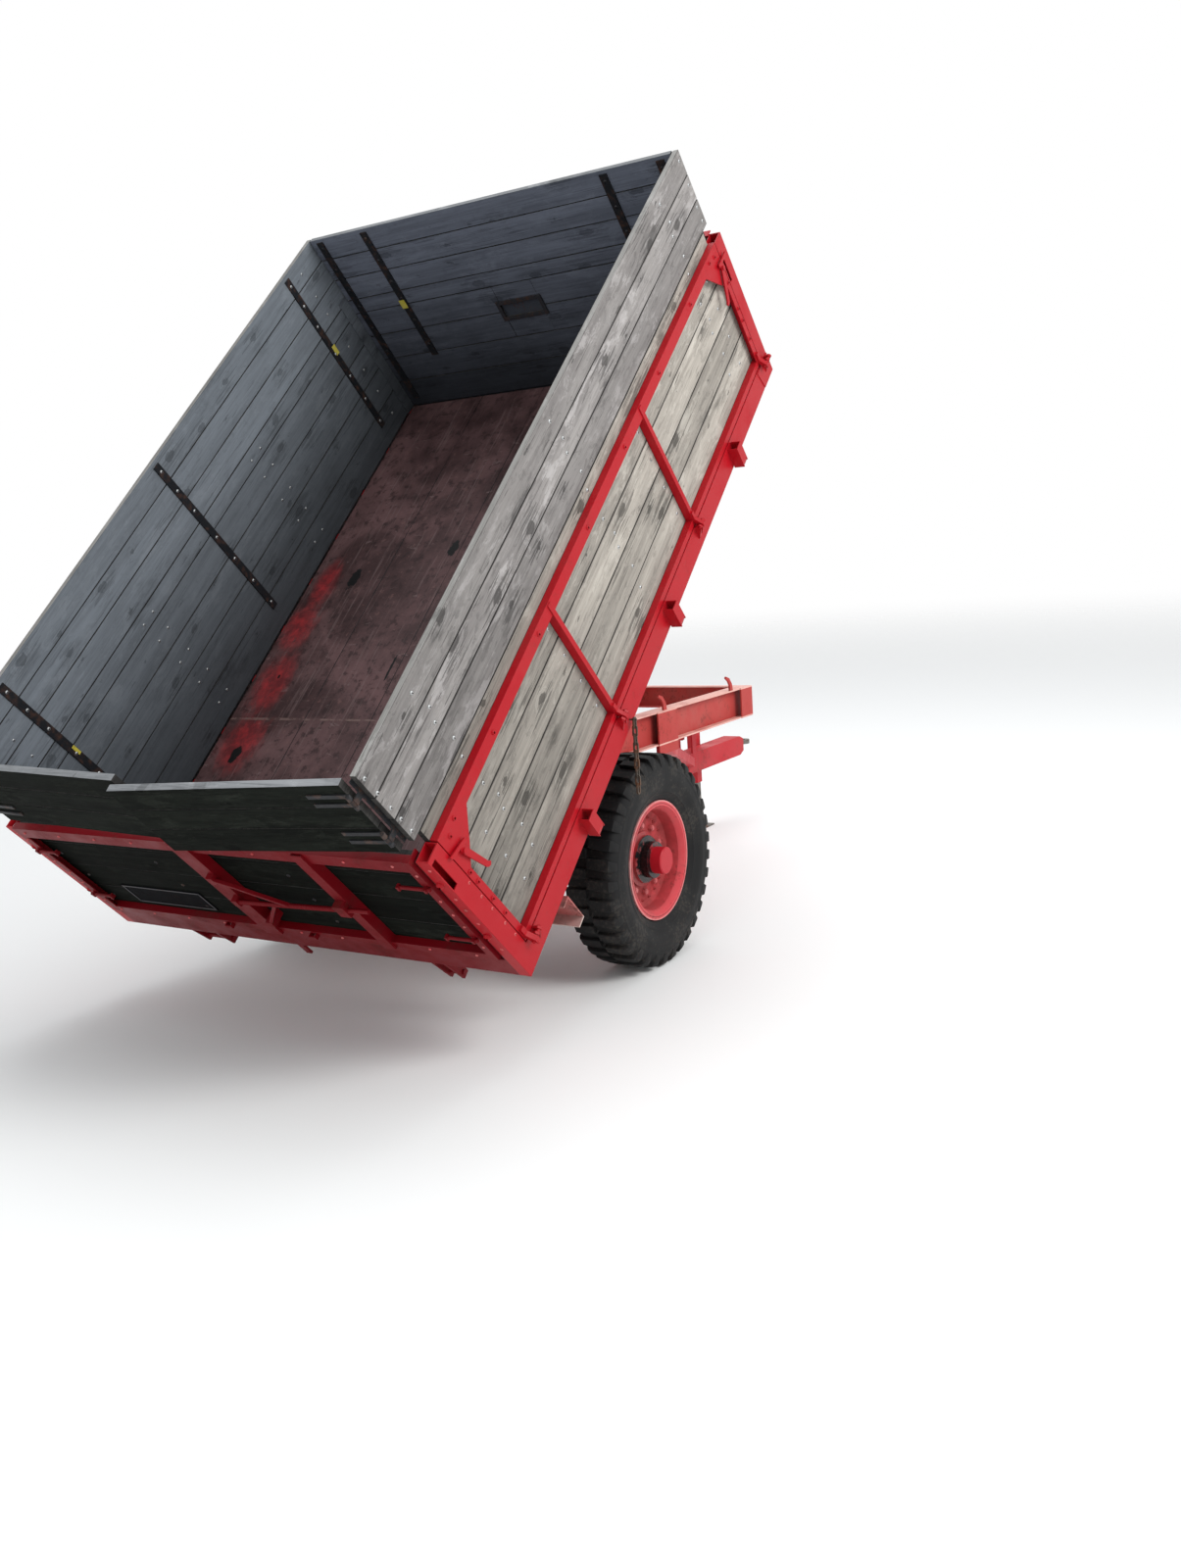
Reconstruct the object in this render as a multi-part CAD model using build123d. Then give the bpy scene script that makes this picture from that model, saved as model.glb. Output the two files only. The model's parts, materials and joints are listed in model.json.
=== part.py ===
from build123d import *
from math import cos, pi, radians, sin
import os

# A single-axle farm tipping trailer with its bed tipped to the rear, in millimetres.
# +X runs forward to the towing eye, +Y to the left, +Z up. The ground is Z = 0 and the axle X = 0
# while drawing. The files' origin lies FOOT_X further forward, at the centre of the footprint.
# Bed pieces are drawn in the bed's own frame: U forward from the rear edge, Y left and V up
# from the side rail's lower edge. bed() then turns them about the tipping hinge.

# Tipping hinge and bed
TIP_DEG = 43.7
HINGE_X = -385.0
HINGE_Z = 1038.0
HINGE_U = 1104.0
HINGE_V = -120.0
TIP_PIN_R = 20.0
EAR_Y = 552.5
BED_LENGTH = 3740.0
BED_HALF = 1231.0
FOOT_X = 640.6
FIT = 0.05
GAP = 6.0
SWING_GAP = 5.0

# Wheels: a 10.00-20 tyre on a ten-stud disc wheel
TYRE_R = 527.0
TYRE_W = 278.0
TYRE_BORE_R = 287.0
WHEEL_Y = 1045.0
RIM_R = 295.0
RIM_W = 210.0
LUG_COUNT = 34
LUG_DEPTH = 20.0
STUD_PITCH_R = 167.5
STUD_COUNT = 10
STUD_R = 11.0
NUT_R = 16.0
NUT_H = 18.0
PILOT_R = 137.0
DISC_IN = -8.0
DISC_OUT = 2.0
SPINDLE_R = 35.0

# Chassis
BEAM_Y = 450.0
BEAM_H = 200.0
BEAM_W = 100.0
BEAM_TOP = 1078.0
BEAM_REAR = -605.0
BEAM_BEVEL = -395.0
BEAM_FRONT = 2570.0
WEB = 6.0
FLANGE = 9.0
BEAM_LOW = BEAM_TOP - BEAM_H
WEB_FACE = BEAM_Y - WEB / 2
FLANGE_FACE = BEAM_Y - BEAM_W / 2
HORNS_X = (1330.0, BEAM_FRONT - 315)
AXLE_SIDE = 100.0
SPRING_HALF = 520.0
SPRING_EYE_Z = 745.0
SPRING_W = 80.0
EYE_X = 3480.0
EYE_Z = 540.0
EYE_BORE_R = 20.0
DRAWBAR_TOP = 610.0
DRAWBAR_H = 140.0
DRAWBAR_REAR = BEAM_FRONT - 120
STAND_X = 2900.0
STAND_Y = 120.0
STAND_PIN_Z = 480.0
STAND_PIN_R = 8.0

# Telescopic ram: trunnion and head lie at one radius from the hinge, so it turns by half the tip
RAM_R = 1450.0
RAM_LOW_DEG = -8.0
RAM_HEAD_DEG = 4.0
RAM_STAGES = 3
BARREL_R = 85.0
STAGE_R = (72.0, 60.0, 48.0)
BALL_R = 42.0
SEAT_GAP = 0.1
SEAT_LIP = 10.0
TRUNNION_R = 25.0
BARREL_LOW = -270.0
BARREL_HIGH = 180.0

# Bed heights, in V
RAIL_H = 120.0
RAIL_W = 60.0
SILL_LOW = -75.0
SILL_TOP = 50.0
FLOOR_TOP = 139.0
FLOOR_T = 5.0
BOARD_LOW = 145.0
SIDE_TOP = 860.0
BOARD_TOP = 925.0
EXT_LOW = 932.0
EXT_TOP = 1328.0
POST_TOP = 855.0
GATE_TOP = 870.0
LEAF_LOW = 908.0
SIDE_SEAMS = (330.0, 500.0, 670.0, 835.0)
EXT_SEAMS = (1065.0, 1197.0)
GATE_SEAMS = (335.0, 525.0, 715.0)

# Boards and posts: places across (Y) and along (U) the bed
BOARD_T = 30.0
BOARD_OUT = BED_HALF - 37
BOARD_IN = BOARD_OUT - BOARD_T
INSIDE_HALF = BOARD_IN - GAP
GATE_HALF = INSIDE_HALF
POST_W = 60.0
POST_L = 90.0
POST_REAR_U = -15.0
RAIL_REAR_U = POST_REAR_U + POST_L
SILL_REAR_U = 25.0
SIDE_REAR_U = RAIL_REAR_U + SWING_GAP
SIDE_FRONT_U = BED_LENGTH - POST_L - SWING_GAP
EXT_REAR_U = 30.0
FRONT_U = BED_LENGTH - 50
GATE_U = 5.0
LEAF_U = -10.0
UNDER_BEAM_U = 412.0
POCKETS_U = (714.0, 1914.0, BED_LENGTH - 728)
STRAPS_U = (450.0, 1880.0, BED_LENGTH - 370)
HATCH = (-110.0, 190.0, 615.0, 740.0)
PLANK_GROOVE = 4.0

# Hinge lines of the drop sides, the tailgate and the rear leaves
SIDE_PIN_Y = BED_HALF + 31
SIDE_PIN_V = 118.0
SIDE_PIN_R = 8.0
STANCHIONS_U = (1243.0, BED_LENGTH - 1300)
# Each row: the moving eye's place, then the two fixed lugs'
SIDE_HINGES = ((98.0, 122.0, 148.0), (STANCHIONS_U[0], STANCHIONS_U[0] - 21, STANCHIONS_U[0] + 21),
               (STANCHIONS_U[1], STANCHIONS_U[1] - 21, STANCHIONS_U[1] + 21),
               (BED_LENGTH - 111, BED_LENGTH - 74, BED_LENGTH - 42))
GATE_PIN_U = 10.0
GATE_PIN_V = 655.0
GATE_PIN_R = 10.0
LEAF_PIN_U = LEAF_U - 12
LEAF_PIN_Y = BOARD_IN - 14
LEAF_HINGES_V = (1010.0, 1240.0)
KNUCKLE_R = 10.5
LEAF_AJAR_RIGHT = 4.0
LEAF_AJAR_LEFT = 1.5
LEAF_SPLIT_Y = 5.0

# Hanging chain
CHAIN_U = 1290.0
CHAIN_V = 30.0
CHAIN_LINKS = 9
LINK_PITCH = 38.0
LINK_T = 8.0

os.makedirs("parts", exist_ok=True)


# Small helpers

def block(x0, x1, y0, y1, z0, z1):
    """A box between its six limits."""
    return Pos((x0 + x1) / 2, (y0 + y1) / 2, (z0 + z1) / 2) * Box(abs(x1 - x0), abs(y1 - y0), abs(z1 - z0))


def rod_y(x, z, r, y0, y1):
    """A round bar across the trailer."""
    return Pos(x, (y0 + y1) / 2, z) * Rot(90, 0, 0) * Cylinder(r, abs(y1 - y0))


def rod_x(y, z, r, x0, x1):
    """A round bar along the trailer."""
    return Pos((x0 + x1) / 2, y, z) * Rot(0, 90, 0) * Cylinder(r, abs(x1 - x0))


def rod_z(x, y, r, z0, z1):
    """An upright round bar."""
    return Pos(x, y, (z0 + z1) / 2) * Cylinder(r, abs(z1 - z0))


def profile_y(points, y0, y1):
    """A side-view outline (x, z) drawn out across the trailer."""
    face = make_face(Polyline(*[(x, 0, z) for x, z in points], close=True))
    solid = extrude(face, amount=abs(y1 - y0), dir=(0, 1, 0))
    return Pos(0, min(y0, y1), 0) * solid


def profile_x(points, x0, x1):
    """An end-view outline (y, z) drawn out along the trailer."""
    face = make_face(Polyline(*[(0, y, z) for y, z in points], close=True))
    solid = extrude(face, amount=x1 - x0, dir=(1, 0, 0))
    return Pos(x0, 0, 0) * solid


def turned_y(points, y):
    """A turned outline (radius, offset outward) about the axle line, for the right-hand side."""
    face = make_face(Polyline(*[(r, -off, 0) for r, off in points], close=True))
    return Pos(0, y, TYRE_R) * revolve(face, Axis.Y)


def faceted_ring(points, sides, y):
    """A closed ring of flat faces from an outline (radius, offset outward) about the axle line."""
    turns = [2 * pi * i / sides for i in range(sides)]
    rings = [[Vector(r * cos(a), y - off, TYRE_R + r * sin(a)) for r, off in points] for a in turns]
    faces = []
    for i in range(sides):
        here, after = rings[i - 1], rings[i]
        for k in range(len(points)):
            corners = (here[k - 1], here[k], after[k], after[k - 1])
            faces.append(Face(Wire.make_polygon(corners, close=True)))
    return Solid(Shell(faces))


def strut(a, b, w, h):
    """A straight bar of width w and height h between two points."""
    start, end = Vector(*a), Vector(*b)
    along = end - start
    plane = Plane(origin=start, z_dir=along, x_dir=Vector(0, 0, 1).cross(along))
    return extrude(plane * Rectangle(w, h), amount=along.length)


def round_bar(a, b, r):
    """A round bar between two points."""
    start, end = Vector(*a), Vector(*b)
    along = end - start
    return extrude(Plane(origin=start, z_dir=along) * Circle(r), amount=along.length)


def other_side(shape):
    """The same piece on the left-hand side."""
    return mirror(shape, about=Plane.XZ)


def both(shape):
    """A right-hand piece together with its left-hand twin."""
    return [shape, other_side(shape)]


BED_AT = Pos(HINGE_X, 0, HINGE_Z) * Rot(0, -TIP_DEG, 0) * Pos(-HINGE_U, 0, -HINGE_V)


def bed(shape):
    """Moves a piece drawn in the bed's frame to the tipped bed."""
    return BED_AT * shape


def bed_point(u, v):
    """Where a point of the bed's side view lies while drawing, as (x, z)."""
    turn = radians(TIP_DEG)
    du, dv = u - HINGE_U, v - HINGE_V
    return HINGE_X + du * cos(turn) - dv * sin(turn), HINGE_Z + du * sin(turn) + dv * cos(turn)


def save(name, *shapes):
    """Writes one named sub-part, of one or more solids."""
    at_origin = Pos(-FOOT_X, 0, 0)
    solids = [at_origin * s for shape in shapes for s in shape.solids()]
    piece = solids[0] if len(solids) == 1 else Compound(children=solids)
    piece.label = name
    export_step(piece, f"parts/{name}.step")


# Chassis

def beam_section(y, top, height, width, web, flange):
    """The outline of an I-beam, as (y, z) points."""
    half, low = width / 2, top - height
    return [(y - half, low), (y + half, low), (y + half, low + flange), (y + web / 2, low + flange),
            (y + web / 2, top - flange), (y + half, top - flange), (y + half, top), (y - half, top),
            (y - half, top - flange), (y - web / 2, top - flange), (y - web / 2, low + flange),
            (y - half, low + flange)]


def guide_horn(x):
    """A finger on the beam's top that leads the bed's sill into place."""
    points = [(x, BEAM_TOP), (x + 42, BEAM_TOP), (x + 30, BEAM_TOP + 45), (x - 5, BEAM_TOP + 85),
              (x - 52, BEAM_TOP + 100), (x - 58, BEAM_TOP + 88), (x - 22, BEAM_TOP + 66),
              (x - 2, BEAM_TOP + 38)]
    return profile_y(points, -(BEAM_Y + 49), -(BEAM_Y + 37))


def beam_right():
    """One main beam with its two outer plates, guide horns and spring brackets."""
    beam = profile_x(beam_section(-BEAM_Y, BEAM_TOP, BEAM_H, BEAM_W, WEB, FLANGE), BEAM_REAR, BEAM_FRONT)
    bevel = [(BEAM_REAR - 1, BEAM_LOW), (BEAM_REAR, BEAM_LOW), (BEAM_BEVEL, BEAM_TOP),
             (BEAM_BEVEL, BEAM_TOP + 1), (BEAM_REAR - 1, BEAM_TOP + 1)]
    beam -= profile_y(bevel, -BEAM_Y - BEAM_W, -BEAM_Y + BEAM_W)
    face = -(BEAM_Y + BEAM_W / 2)
    beam += block(1235, 1475, face - 10, face, BEAM_LOW - 55, BEAM_TOP - 4)
    beam += block(BEAM_FRONT - 170, BEAM_FRONT, face - 10, face, BEAM_LOW, BEAM_TOP)
    for x in HORNS_X:
        beam += guide_horn(x)
    for x in (-SPRING_HALF, SPRING_HALF):
        for y in (SPRING_W / 2 + 3, -SPRING_W / 2 - 13):
            beam += profile_y([(x - 55, BEAM_LOW), (x + 55, BEAM_LOW), (x + 28, SPRING_EYE_Z - 30),
                               (x - 28, SPRING_EYE_Z - 30)], -BEAM_Y + y, -BEAM_Y + y + 10)
        beam += rod_y(x, SPRING_EYE_Z, 14, -BEAM_Y - SPRING_W / 2 - 20, -BEAM_Y + SPRING_W / 2 + 20)
    return beam


def channel_section(middle, low, top, half):
    """The outline of a channel whose web stands on the side that the sign of half gives."""
    skin = 6.0
    back, tips = middle + half, middle - half
    inner = back - skin if half > 0 else back + skin
    return [(back, low), (tips, low), (tips, low + skin), (inner, low + skin),
            (inner, top - skin), (tips, top - skin), (tips, top), (back, top)]


def cross_channel(x, low, top, facing):
    """A channel between the main beams, its flanges pointing along facing."""
    deep = 60.0
    tips = x + facing * deep
    cope = BEAM_TOP - FLANGE - 2
    piece = block(x, x + facing * WEB, -WEB_FACE, WEB_FACE, low, min(top, cope))
    piece += block(x, tips, -FLANGE_FACE, FLANGE_FACE, low, low + 8)
    piece += block(x, tips, -FLANGE_FACE, FLANGE_FACE, top - 8, top)
    piece += block(x, x + facing * WEB, -FLANGE_FACE, FLANGE_FACE, low, top)
    return piece


def ram_point(angle_deg):
    """A point at the ram's radius from the tipping hinge."""
    return HINGE_X + RAM_R * cos(radians(angle_deg)), HINGE_Z + RAM_R * sin(radians(angle_deg))


RAM_X, RAM_Z = ram_point(RAM_LOW_DEG)
HEAD_X, HEAD_Z = ram_point(RAM_HEAD_DEG + TIP_DEG)
RAM_LONG = 2 * RAM_R * sin(radians(RAM_HEAD_DEG - RAM_LOW_DEG + TIP_DEG) / 2)
RAM_SHORT = 2 * RAM_R * sin(radians(RAM_HEAD_DEG - RAM_LOW_DEG) / 2)
STROKE = (RAM_LONG - RAM_SHORT) / RAM_STAGES


def cross_members():
    """The front cross member, and two middle ones with the ram's cradle plates between them."""
    front = cross_channel(BEAM_FRONT, BEAM_TOP - 148, BEAM_TOP, -1)
    ahead = cross_channel(RAM_X + 190, BEAM_TOP - 190, BEAM_TOP - 30, 1)
    behind = cross_channel(RAM_X - 190, BEAM_TOP - 190, BEAM_TOP - 30, -1)
    middle = ahead + behind
    for y in (-140, 124):
        plate = block(RAM_X - 190, RAM_X + 190, y, y + 16, BEAM_TOP - 190, BEAM_TOP - 60)
        plate += profile_y([(RAM_X - 90, RAM_Z + 60), (RAM_X + 90, RAM_Z + 60), (RAM_X + 45, RAM_Z - 45),
                            (RAM_X - 45, RAM_Z - 45)], y, y + 16)
        plate -= rod_y(RAM_X, RAM_Z, TRUNNION_R + FIT, y - 1, y + 17)
        middle += plate
    return [front, middle]


def tip_pivot():
    """The cross tube under the beams with the hinge ears and pins at its ends."""
    tube = block(HINGE_X - 50, HINGE_X + 50, -600, 600, BEAM_LOW - 100, BEAM_LOW)
    tube -= block(HINGE_X - 44, HINGE_X + 44, -601, 601, BEAM_LOW - 94, BEAM_LOW - 6)
    for y in (-EAR_Y - 37.5, -EAR_Y + 22.5, EAR_Y - 37.5, EAR_Y + 22.5):
        ear = profile_y([(HINGE_X - 50, BEAM_LOW - 1), (HINGE_X + 50, BEAM_LOW - 1), (HINGE_X + 35, HINGE_Z),
                         (HINGE_X - 35, HINGE_Z)], y, y + 15)
        tube += ear + rod_y(HINGE_X, HINGE_Z, 35, y, y + 15)
    for side in (-1, 1):
        tube += rod_y(HINGE_X, HINGE_Z, TIP_PIN_R, side * (EAR_Y - 40), side * (EAR_Y + 45))
    return tube


def axle_beam():
    """The square axle with a spindle at each end and the spring seats."""
    half = AXLE_SIDE / 2
    piece = block(-half, half, -820, 820, TYRE_R - half, TYRE_R + half)
    piece += rod_y(0, TYRE_R, SPINDLE_R, -1070, 1070)
    for side in (-1, 1):
        piece += rod_y(0, TYRE_R, 62, side * 800, side * 860)
    return piece


def leaf_spring():
    """A stepped pack of leaves with rolled eyes, and the plate and U-bolts that hold it to the axle."""
    seat = TYRE_R + AXLE_SIDE / 2
    leaf = 11.0
    rise = SPRING_EYE_Z - 20 - seat - 6 * leaf
    y0, y1 = -BEAM_Y - SPRING_W / 2, -BEAM_Y + SPRING_W / 2
    piece = block(-90, 90, y0, y1, seat, seat + 6 * leaf + 14)
    lengths = (150, 230, 310, 390, 470, SPRING_HALF)
    for step, half in enumerate(lengths):
        low = seat + step * leaf
        tip = low + rise * (half / SPRING_HALF) ** 2
        mid = low + rise * (half / SPRING_HALF / 2) ** 2
        under = [(-half, tip), (-half / 2, mid), (0, low), (half / 2, mid), (half, tip)]
        over = [(x, z + leaf) for x, z in reversed(under)]
        piece += profile_y(under + over, y0, y1)
    for x in (-SPRING_HALF, SPRING_HALF):
        piece += rod_y(x, SPRING_EYE_Z, 26, y0, y1)
        piece -= rod_y(x, SPRING_EYE_Z, 14 + FIT, y0 - 1, y1 + 1)
    for x in (-AXLE_SIDE / 2 - 9, AXLE_SIDE / 2 + 9):
        for y in (y0 - 9, y1 + 9):
            piece += rod_z(x, y, 8, seat - AXLE_SIDE - 30, seat + 6 * leaf + 22)
    piece += block(-70, 70, y0 - 20, y1 + 20, seat + 6 * leaf + 8, seat + 6 * leaf + 20)
    piece += block(-70, 70, y0 - 20, y1 + 20, seat - AXLE_SIDE - 14, seat - AXLE_SIDE)
    return piece


def drawbar():
    """The box drawbar with its nose, the two struts to the beams and the strap to the front member."""
    low = DRAWBAR_TOP - DRAWBAR_H
    nose = EYE_X - 130
    box = profile_y([(DRAWBAR_REAR, low), (nose - 60, low), (nose, low + 25), (nose, DRAWBAR_TOP - 25),
                     (nose - 60, DRAWBAR_TOP), (DRAWBAR_REAR, DRAWBAR_TOP)], -65, 65)
    box -= block(DRAWBAR_REAR - 1, nose - 90, -57, 57, low + 8, DRAWBAR_TOP - 8)
    for side in (-1, 1):
        box += strut((DRAWBAR_REAR + 40, side * 62, low + 80), (1400, side * 465, BEAM_LOW - 30), 50, 60)
        box += block(1300, 1430, side * 450, side * 500, BEAM_LOW - 55, BEAM_LOW)
        box += block(BEAM_FRONT - 55, BEAM_FRONT + 5, side * 66, side * 56, DRAWBAR_TOP - 60, BEAM_TOP - 148)
    box += block(BEAM_FRONT - 60, BEAM_FRONT, -66, 66, BEAM_TOP - 158, BEAM_TOP - 148)
    return box


def towing_eye():
    """A ring with a flat-faced bore and its shank."""
    ring = rod_z(EYE_X, 0, 50, EYE_Z - 15, EYE_Z + 15)
    ring += rod_x(0, EYE_Z, 24, EYE_X - 130, EYE_X - 40)
    return ring - rod_z(EYE_X, 0, EYE_BORE_R, EYE_Z - 30, EYE_Z + 30)


def stand_tube():
    """The fixed outer tube of the parking stand with its clamp, gear head and crank."""
    tube = block(STAND_X - 35, STAND_X + 35, STAND_Y - 35, STAND_Y + 35, 330, 800)
    tube -= block(STAND_X - 29, STAND_X + 29, STAND_Y - 29, STAND_Y + 29, 329, 790)
    tube += block(STAND_X - 60, STAND_X + 60, 65, STAND_Y - 35, DRAWBAR_TOP - 130, DRAWBAR_TOP - 10)
    tube += rod_x(STAND_Y, STAND_PIN_Z, STAND_PIN_R, STAND_X - 52, STAND_X + 46)
    tube += rod_y(STAND_X, 760, 12, STAND_Y + 35, STAND_Y + 90)
    tube += block(STAND_X - 12, STAND_X + 12, STAND_Y + 80, STAND_Y + 90, 640, 772)
    tube += rod_y(STAND_X, 645, 11, STAND_Y + 90, STAND_Y + 190)
    return tube


def stand_leg():
    """The sliding inner leg of the parking stand and its foot plate."""
    leg = block(STAND_X - 26, STAND_X + 26, STAND_Y - 26, STAND_Y + 26, 8, 600)
    leg -= rod_x(STAND_Y, STAND_PIN_Z, STAND_PIN_R + FIT, STAND_X - 30, STAND_X + 30)
    return leg + block(STAND_X - 90, STAND_X + 90, STAND_Y - 90, STAND_Y + 90, 0, 8)


# Wheels, drawn at the right-hand side

def tyre():
    """Two staggered rows of straight lugs on a carcass with bulging sidewalls."""
    root = TYRE_R - LUG_DEPTH
    edge = TYRE_W / 2 - 14
    pitch = 2 * pi / LUG_COUNT
    body = []
    for side, shift in ((-1, 0.0), (1, 0.5)):
        points = []
        for i in range(LUG_COUNT):
            for part, r in ((0.04, root), (0.10, TYRE_R), (0.60, TYRE_R), (0.66, root)):
                a = (i + shift + part) * pitch
                points.append((r * cos(a), r * sin(a)))
        body.append(Pos(0, -WHEEL_Y, TYRE_R) * profile_y(points, 0, side * edge))
    half = TYRE_W / 2
    left = [(TYRE_BORE_R, RIM_W / 2 - 11.5), (RIM_R + 20, RIM_W / 2 - 5), (RIM_R + 50, half - 12),
            (RIM_R + 105, half), (root - 34, half - 4), (root - 12, edge)]
    outline = left + [(r, -off) for r, off in reversed(left)]
    bore = rod_y(0, TYRE_R, root - 60, -WHEEL_Y - half, -WHEEL_Y + half)
    return faceted_ring(outline, 2 * LUG_COUNT, -WHEEL_Y) + (body[0] - bore) + (body[1] - bore)


def stud_places():
    """The centres (x, z) of the wheel studs."""
    turns = [2 * pi * (i + 0.5) / STUD_COUNT for i in range(STUD_COUNT)]
    return [(STUD_PITCH_R * cos(a), TYRE_R + STUD_PITCH_R * sin(a)) for a in turns]


def rim():
    """The rim with its flanges and lock ring, and the dished disc with its stud holes."""
    half = RIM_W / 2
    well = RIM_R - 38
    outline = [(RIM_R, half), (RIM_R, half - 9), (RIM_R - 20, half - 14), (well, half - 30),
               (well, -half + 30), (RIM_R - 20, -half + 14), (RIM_R, -half + 9), (RIM_R, -half),
               (RIM_R - 22, -half),
               (well - 8, -half + 18), (well - 8, DISC_IN - 24), (well - 32, DISC_IN - 6), (206, DISC_IN),
               (PILOT_R + FIT, DISC_IN), (PILOT_R + FIT, DISC_OUT), (well - 42, DISC_OUT),
               (well - 16, DISC_OUT + 14), (well - 8, half - 28), (RIM_R - 26, half)]
    piece = turned_y(outline, -WHEEL_Y)
    for x, z in stud_places():
        piece -= rod_y(x, z, STUD_R + FIT, -WHEEL_Y - DISC_IN + 4, -WHEEL_Y - DISC_OUT - 4)
    return piece


def hub():
    """The hub drum, its wheel flange with ten nuts, the greasy collar and the cap."""
    outline = [(SPINDLE_R + FIT, -160), (80, -160), (118, -150), (118, DISC_IN - 18), (205, DISC_IN - 16),
               (205, DISC_IN), (PILOT_R, DISC_IN), (PILOT_R, 12), (118, 18), (118, 36), (90, 40), (90, 83),
               (67, 84), (67, 140), (61, 145), (0, 145), (0, 120), (50, 100), (50, 40), (SPINDLE_R + FIT, 40)]
    piece = turned_y(outline, -WHEEL_Y)
    for x, z in stud_places():
        piece += rod_y(x, z, STUD_R, -WHEEL_Y - DISC_IN + 4, -WHEEL_Y - DISC_OUT - NUT_H - 4)
        nut = extrude(RegularPolygon(NUT_R, 6), amount=NUT_H)
        piece += Pos(x, -WHEEL_Y - DISC_OUT, z) * Rot(90, 0, 0) * nut
    return piece


# Ram, drawn along +Z from its trunnion and then leaned towards its head

RAM_LEAN = (180 + RAM_HEAD_DEG + TIP_DEG + RAM_LOW_DEG) / 2


def ram(shape):
    """Moves a piece drawn upright at the trunnion to the leaning ram."""
    return Pos(RAM_X, 0, RAM_Z) * Rot(0, 90 - RAM_LEAN, 0) * shape


def sleeve(outer, inner, low, high, gland):
    """A tube with a closed foot and a gland ring at its mouth."""
    tube = Pos(0, 0, (low + high) / 2) * Cylinder(outer, high - low)
    tube -= Pos(0, 0, (low + 12 + high + 1) / 2) * Cylinder(inner, high + 1 - low - 12)
    ring = Pos(0, 0, high - 12) * (Cylinder(outer + 4, 24) - Cylinder(gland, 26))
    return tube + ring


def ram_barrel():
    """The ram's base tube with its two trunnion pins."""
    tube = sleeve(BARREL_R, STAGE_R[0] + 6, BARREL_LOW, BARREL_HIGH, STAGE_R[0] + FIT)
    for side in (-1, 1):
        tube += rod_y(0, 0, TRUNNION_R, side * (BARREL_R - 6), side * 150)
        tube += rod_y(0, 0, 40, side * (BARREL_R - 8), side * 116)
    return tube


def ram_stage(index):
    """A sliding tube, shown drawn out."""
    out = STROKE * (index + 1)
    low, high = BARREL_LOW + 14 * (index + 1), BARREL_HIGH + 28 * (index + 1)
    return sleeve(STAGE_R[index], STAGE_R[index + 1] + 5, low + out, high + out, STAGE_R[index + 1] + FIT)


def ram_rod():
    """The innermost stage with its ball head, shown drawn out."""
    out = STROKE * RAM_STAGES
    low = BARREL_LOW + 14 * RAM_STAGES + out
    rod = Pos(0, 0, (low + RAM_LONG) / 2) * Cylinder(STAGE_R[2], RAM_LONG - low - 45)
    rod = Pos(0, 0, -22) * rod + Pos(0, 0, RAM_LONG - 40) * Cylinder(26, 50)
    return rod + Pos(0, 0, RAM_LONG) * Sphere(BALL_R)


# Bed, in its own frame

HEAD_U = HINGE_U + RAM_R * cos(radians(RAM_HEAD_DEG))
HEAD_V = HINGE_V + RAM_R * sin(radians(RAM_HEAD_DEG))


def bearer_places():
    """The cross bearers' places: even steps up to the hinge, to the ram's seat and to the front."""
    places = []
    ends = (60.0, HINGE_U, HEAD_U, BED_LENGTH - 80)
    for start, end, steps in zip(ends, ends[1:], (3, 4, 3)):
        places += [start + (end - start) * i / steps for i in range(steps)]
    return places + [ends[-1]]


def bed_underframe():
    """Two long sills, eleven cross bearers and the two hinge ears, each its own solid."""
    half = BED_HALF - RAIL_W
    high = FLOOR_TOP - FLOOR_T
    room = Pos(HEAD_U, 0, HEAD_V) * Sphere(BALL_R + 60)
    pieces = []
    for side in (-1, 1):
        sill = channel_section(side * BEAM_Y, SILL_LOW, SILL_TOP, side * 30)
        pieces.append(profile_x(sill, SILL_REAR_U, BED_LENGTH - 40))
        y0, y1 = sorted((side * (EAR_Y - 12.5), side * (EAR_Y + 12.5)))
        ear = profile_y([(HINGE_U - 60, SILL_TOP), (HINGE_U + 60, SILL_TOP), (HINGE_U + 34, HINGE_V),
                         (HINGE_U - 34, HINGE_V)], y0, y1)
        ear += rod_y(HINGE_U, HINGE_V, 34, y0, y1)
        pieces.append(ear - rod_y(HINGE_U, HINGE_V, TIP_PIN_R + FIT, y0 - 1, y1 + 1))
    for u in bearer_places():
        bearer = profile_y(channel_section(u, SILL_TOP, high, 22), -half, half)
        pieces.append(bearer - room if abs(u - HEAD_U) < BALL_R else bearer)
    return pieces


def ram_cup():
    """The ball seat under the bed, open towards the ram's base."""
    seat = block(-75, 75, -75, 75, SEAT_LIP, 62) - Sphere(BALL_R + SEAT_GAP)
    seat = Pos(HEAD_U, 0, HEAD_V) * Rot(0, TIP_DEG / 4, 0) * seat
    seat -= block(HEAD_U - 150, HEAD_U + 150, -100, 100, SILL_TOP - 1, SILL_TOP + 150)
    inner = BEAM_Y - 30
    carrier = block(HEAD_U - 22, HEAD_U + 22, -inner, inner, HEAD_V + 58, SILL_TOP - 1)
    return seat + carrier - Pos(HEAD_U, 0, HEAD_V) * Sphere(BALL_R + SEAT_GAP)


def floor_sheet():
    """The steel floor, laid on the bearers."""
    return block(20, FRONT_U, -INSIDE_HALF, INSIDE_HALF, FLOOR_TOP - FLOOR_T, FLOOR_TOP)


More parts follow.
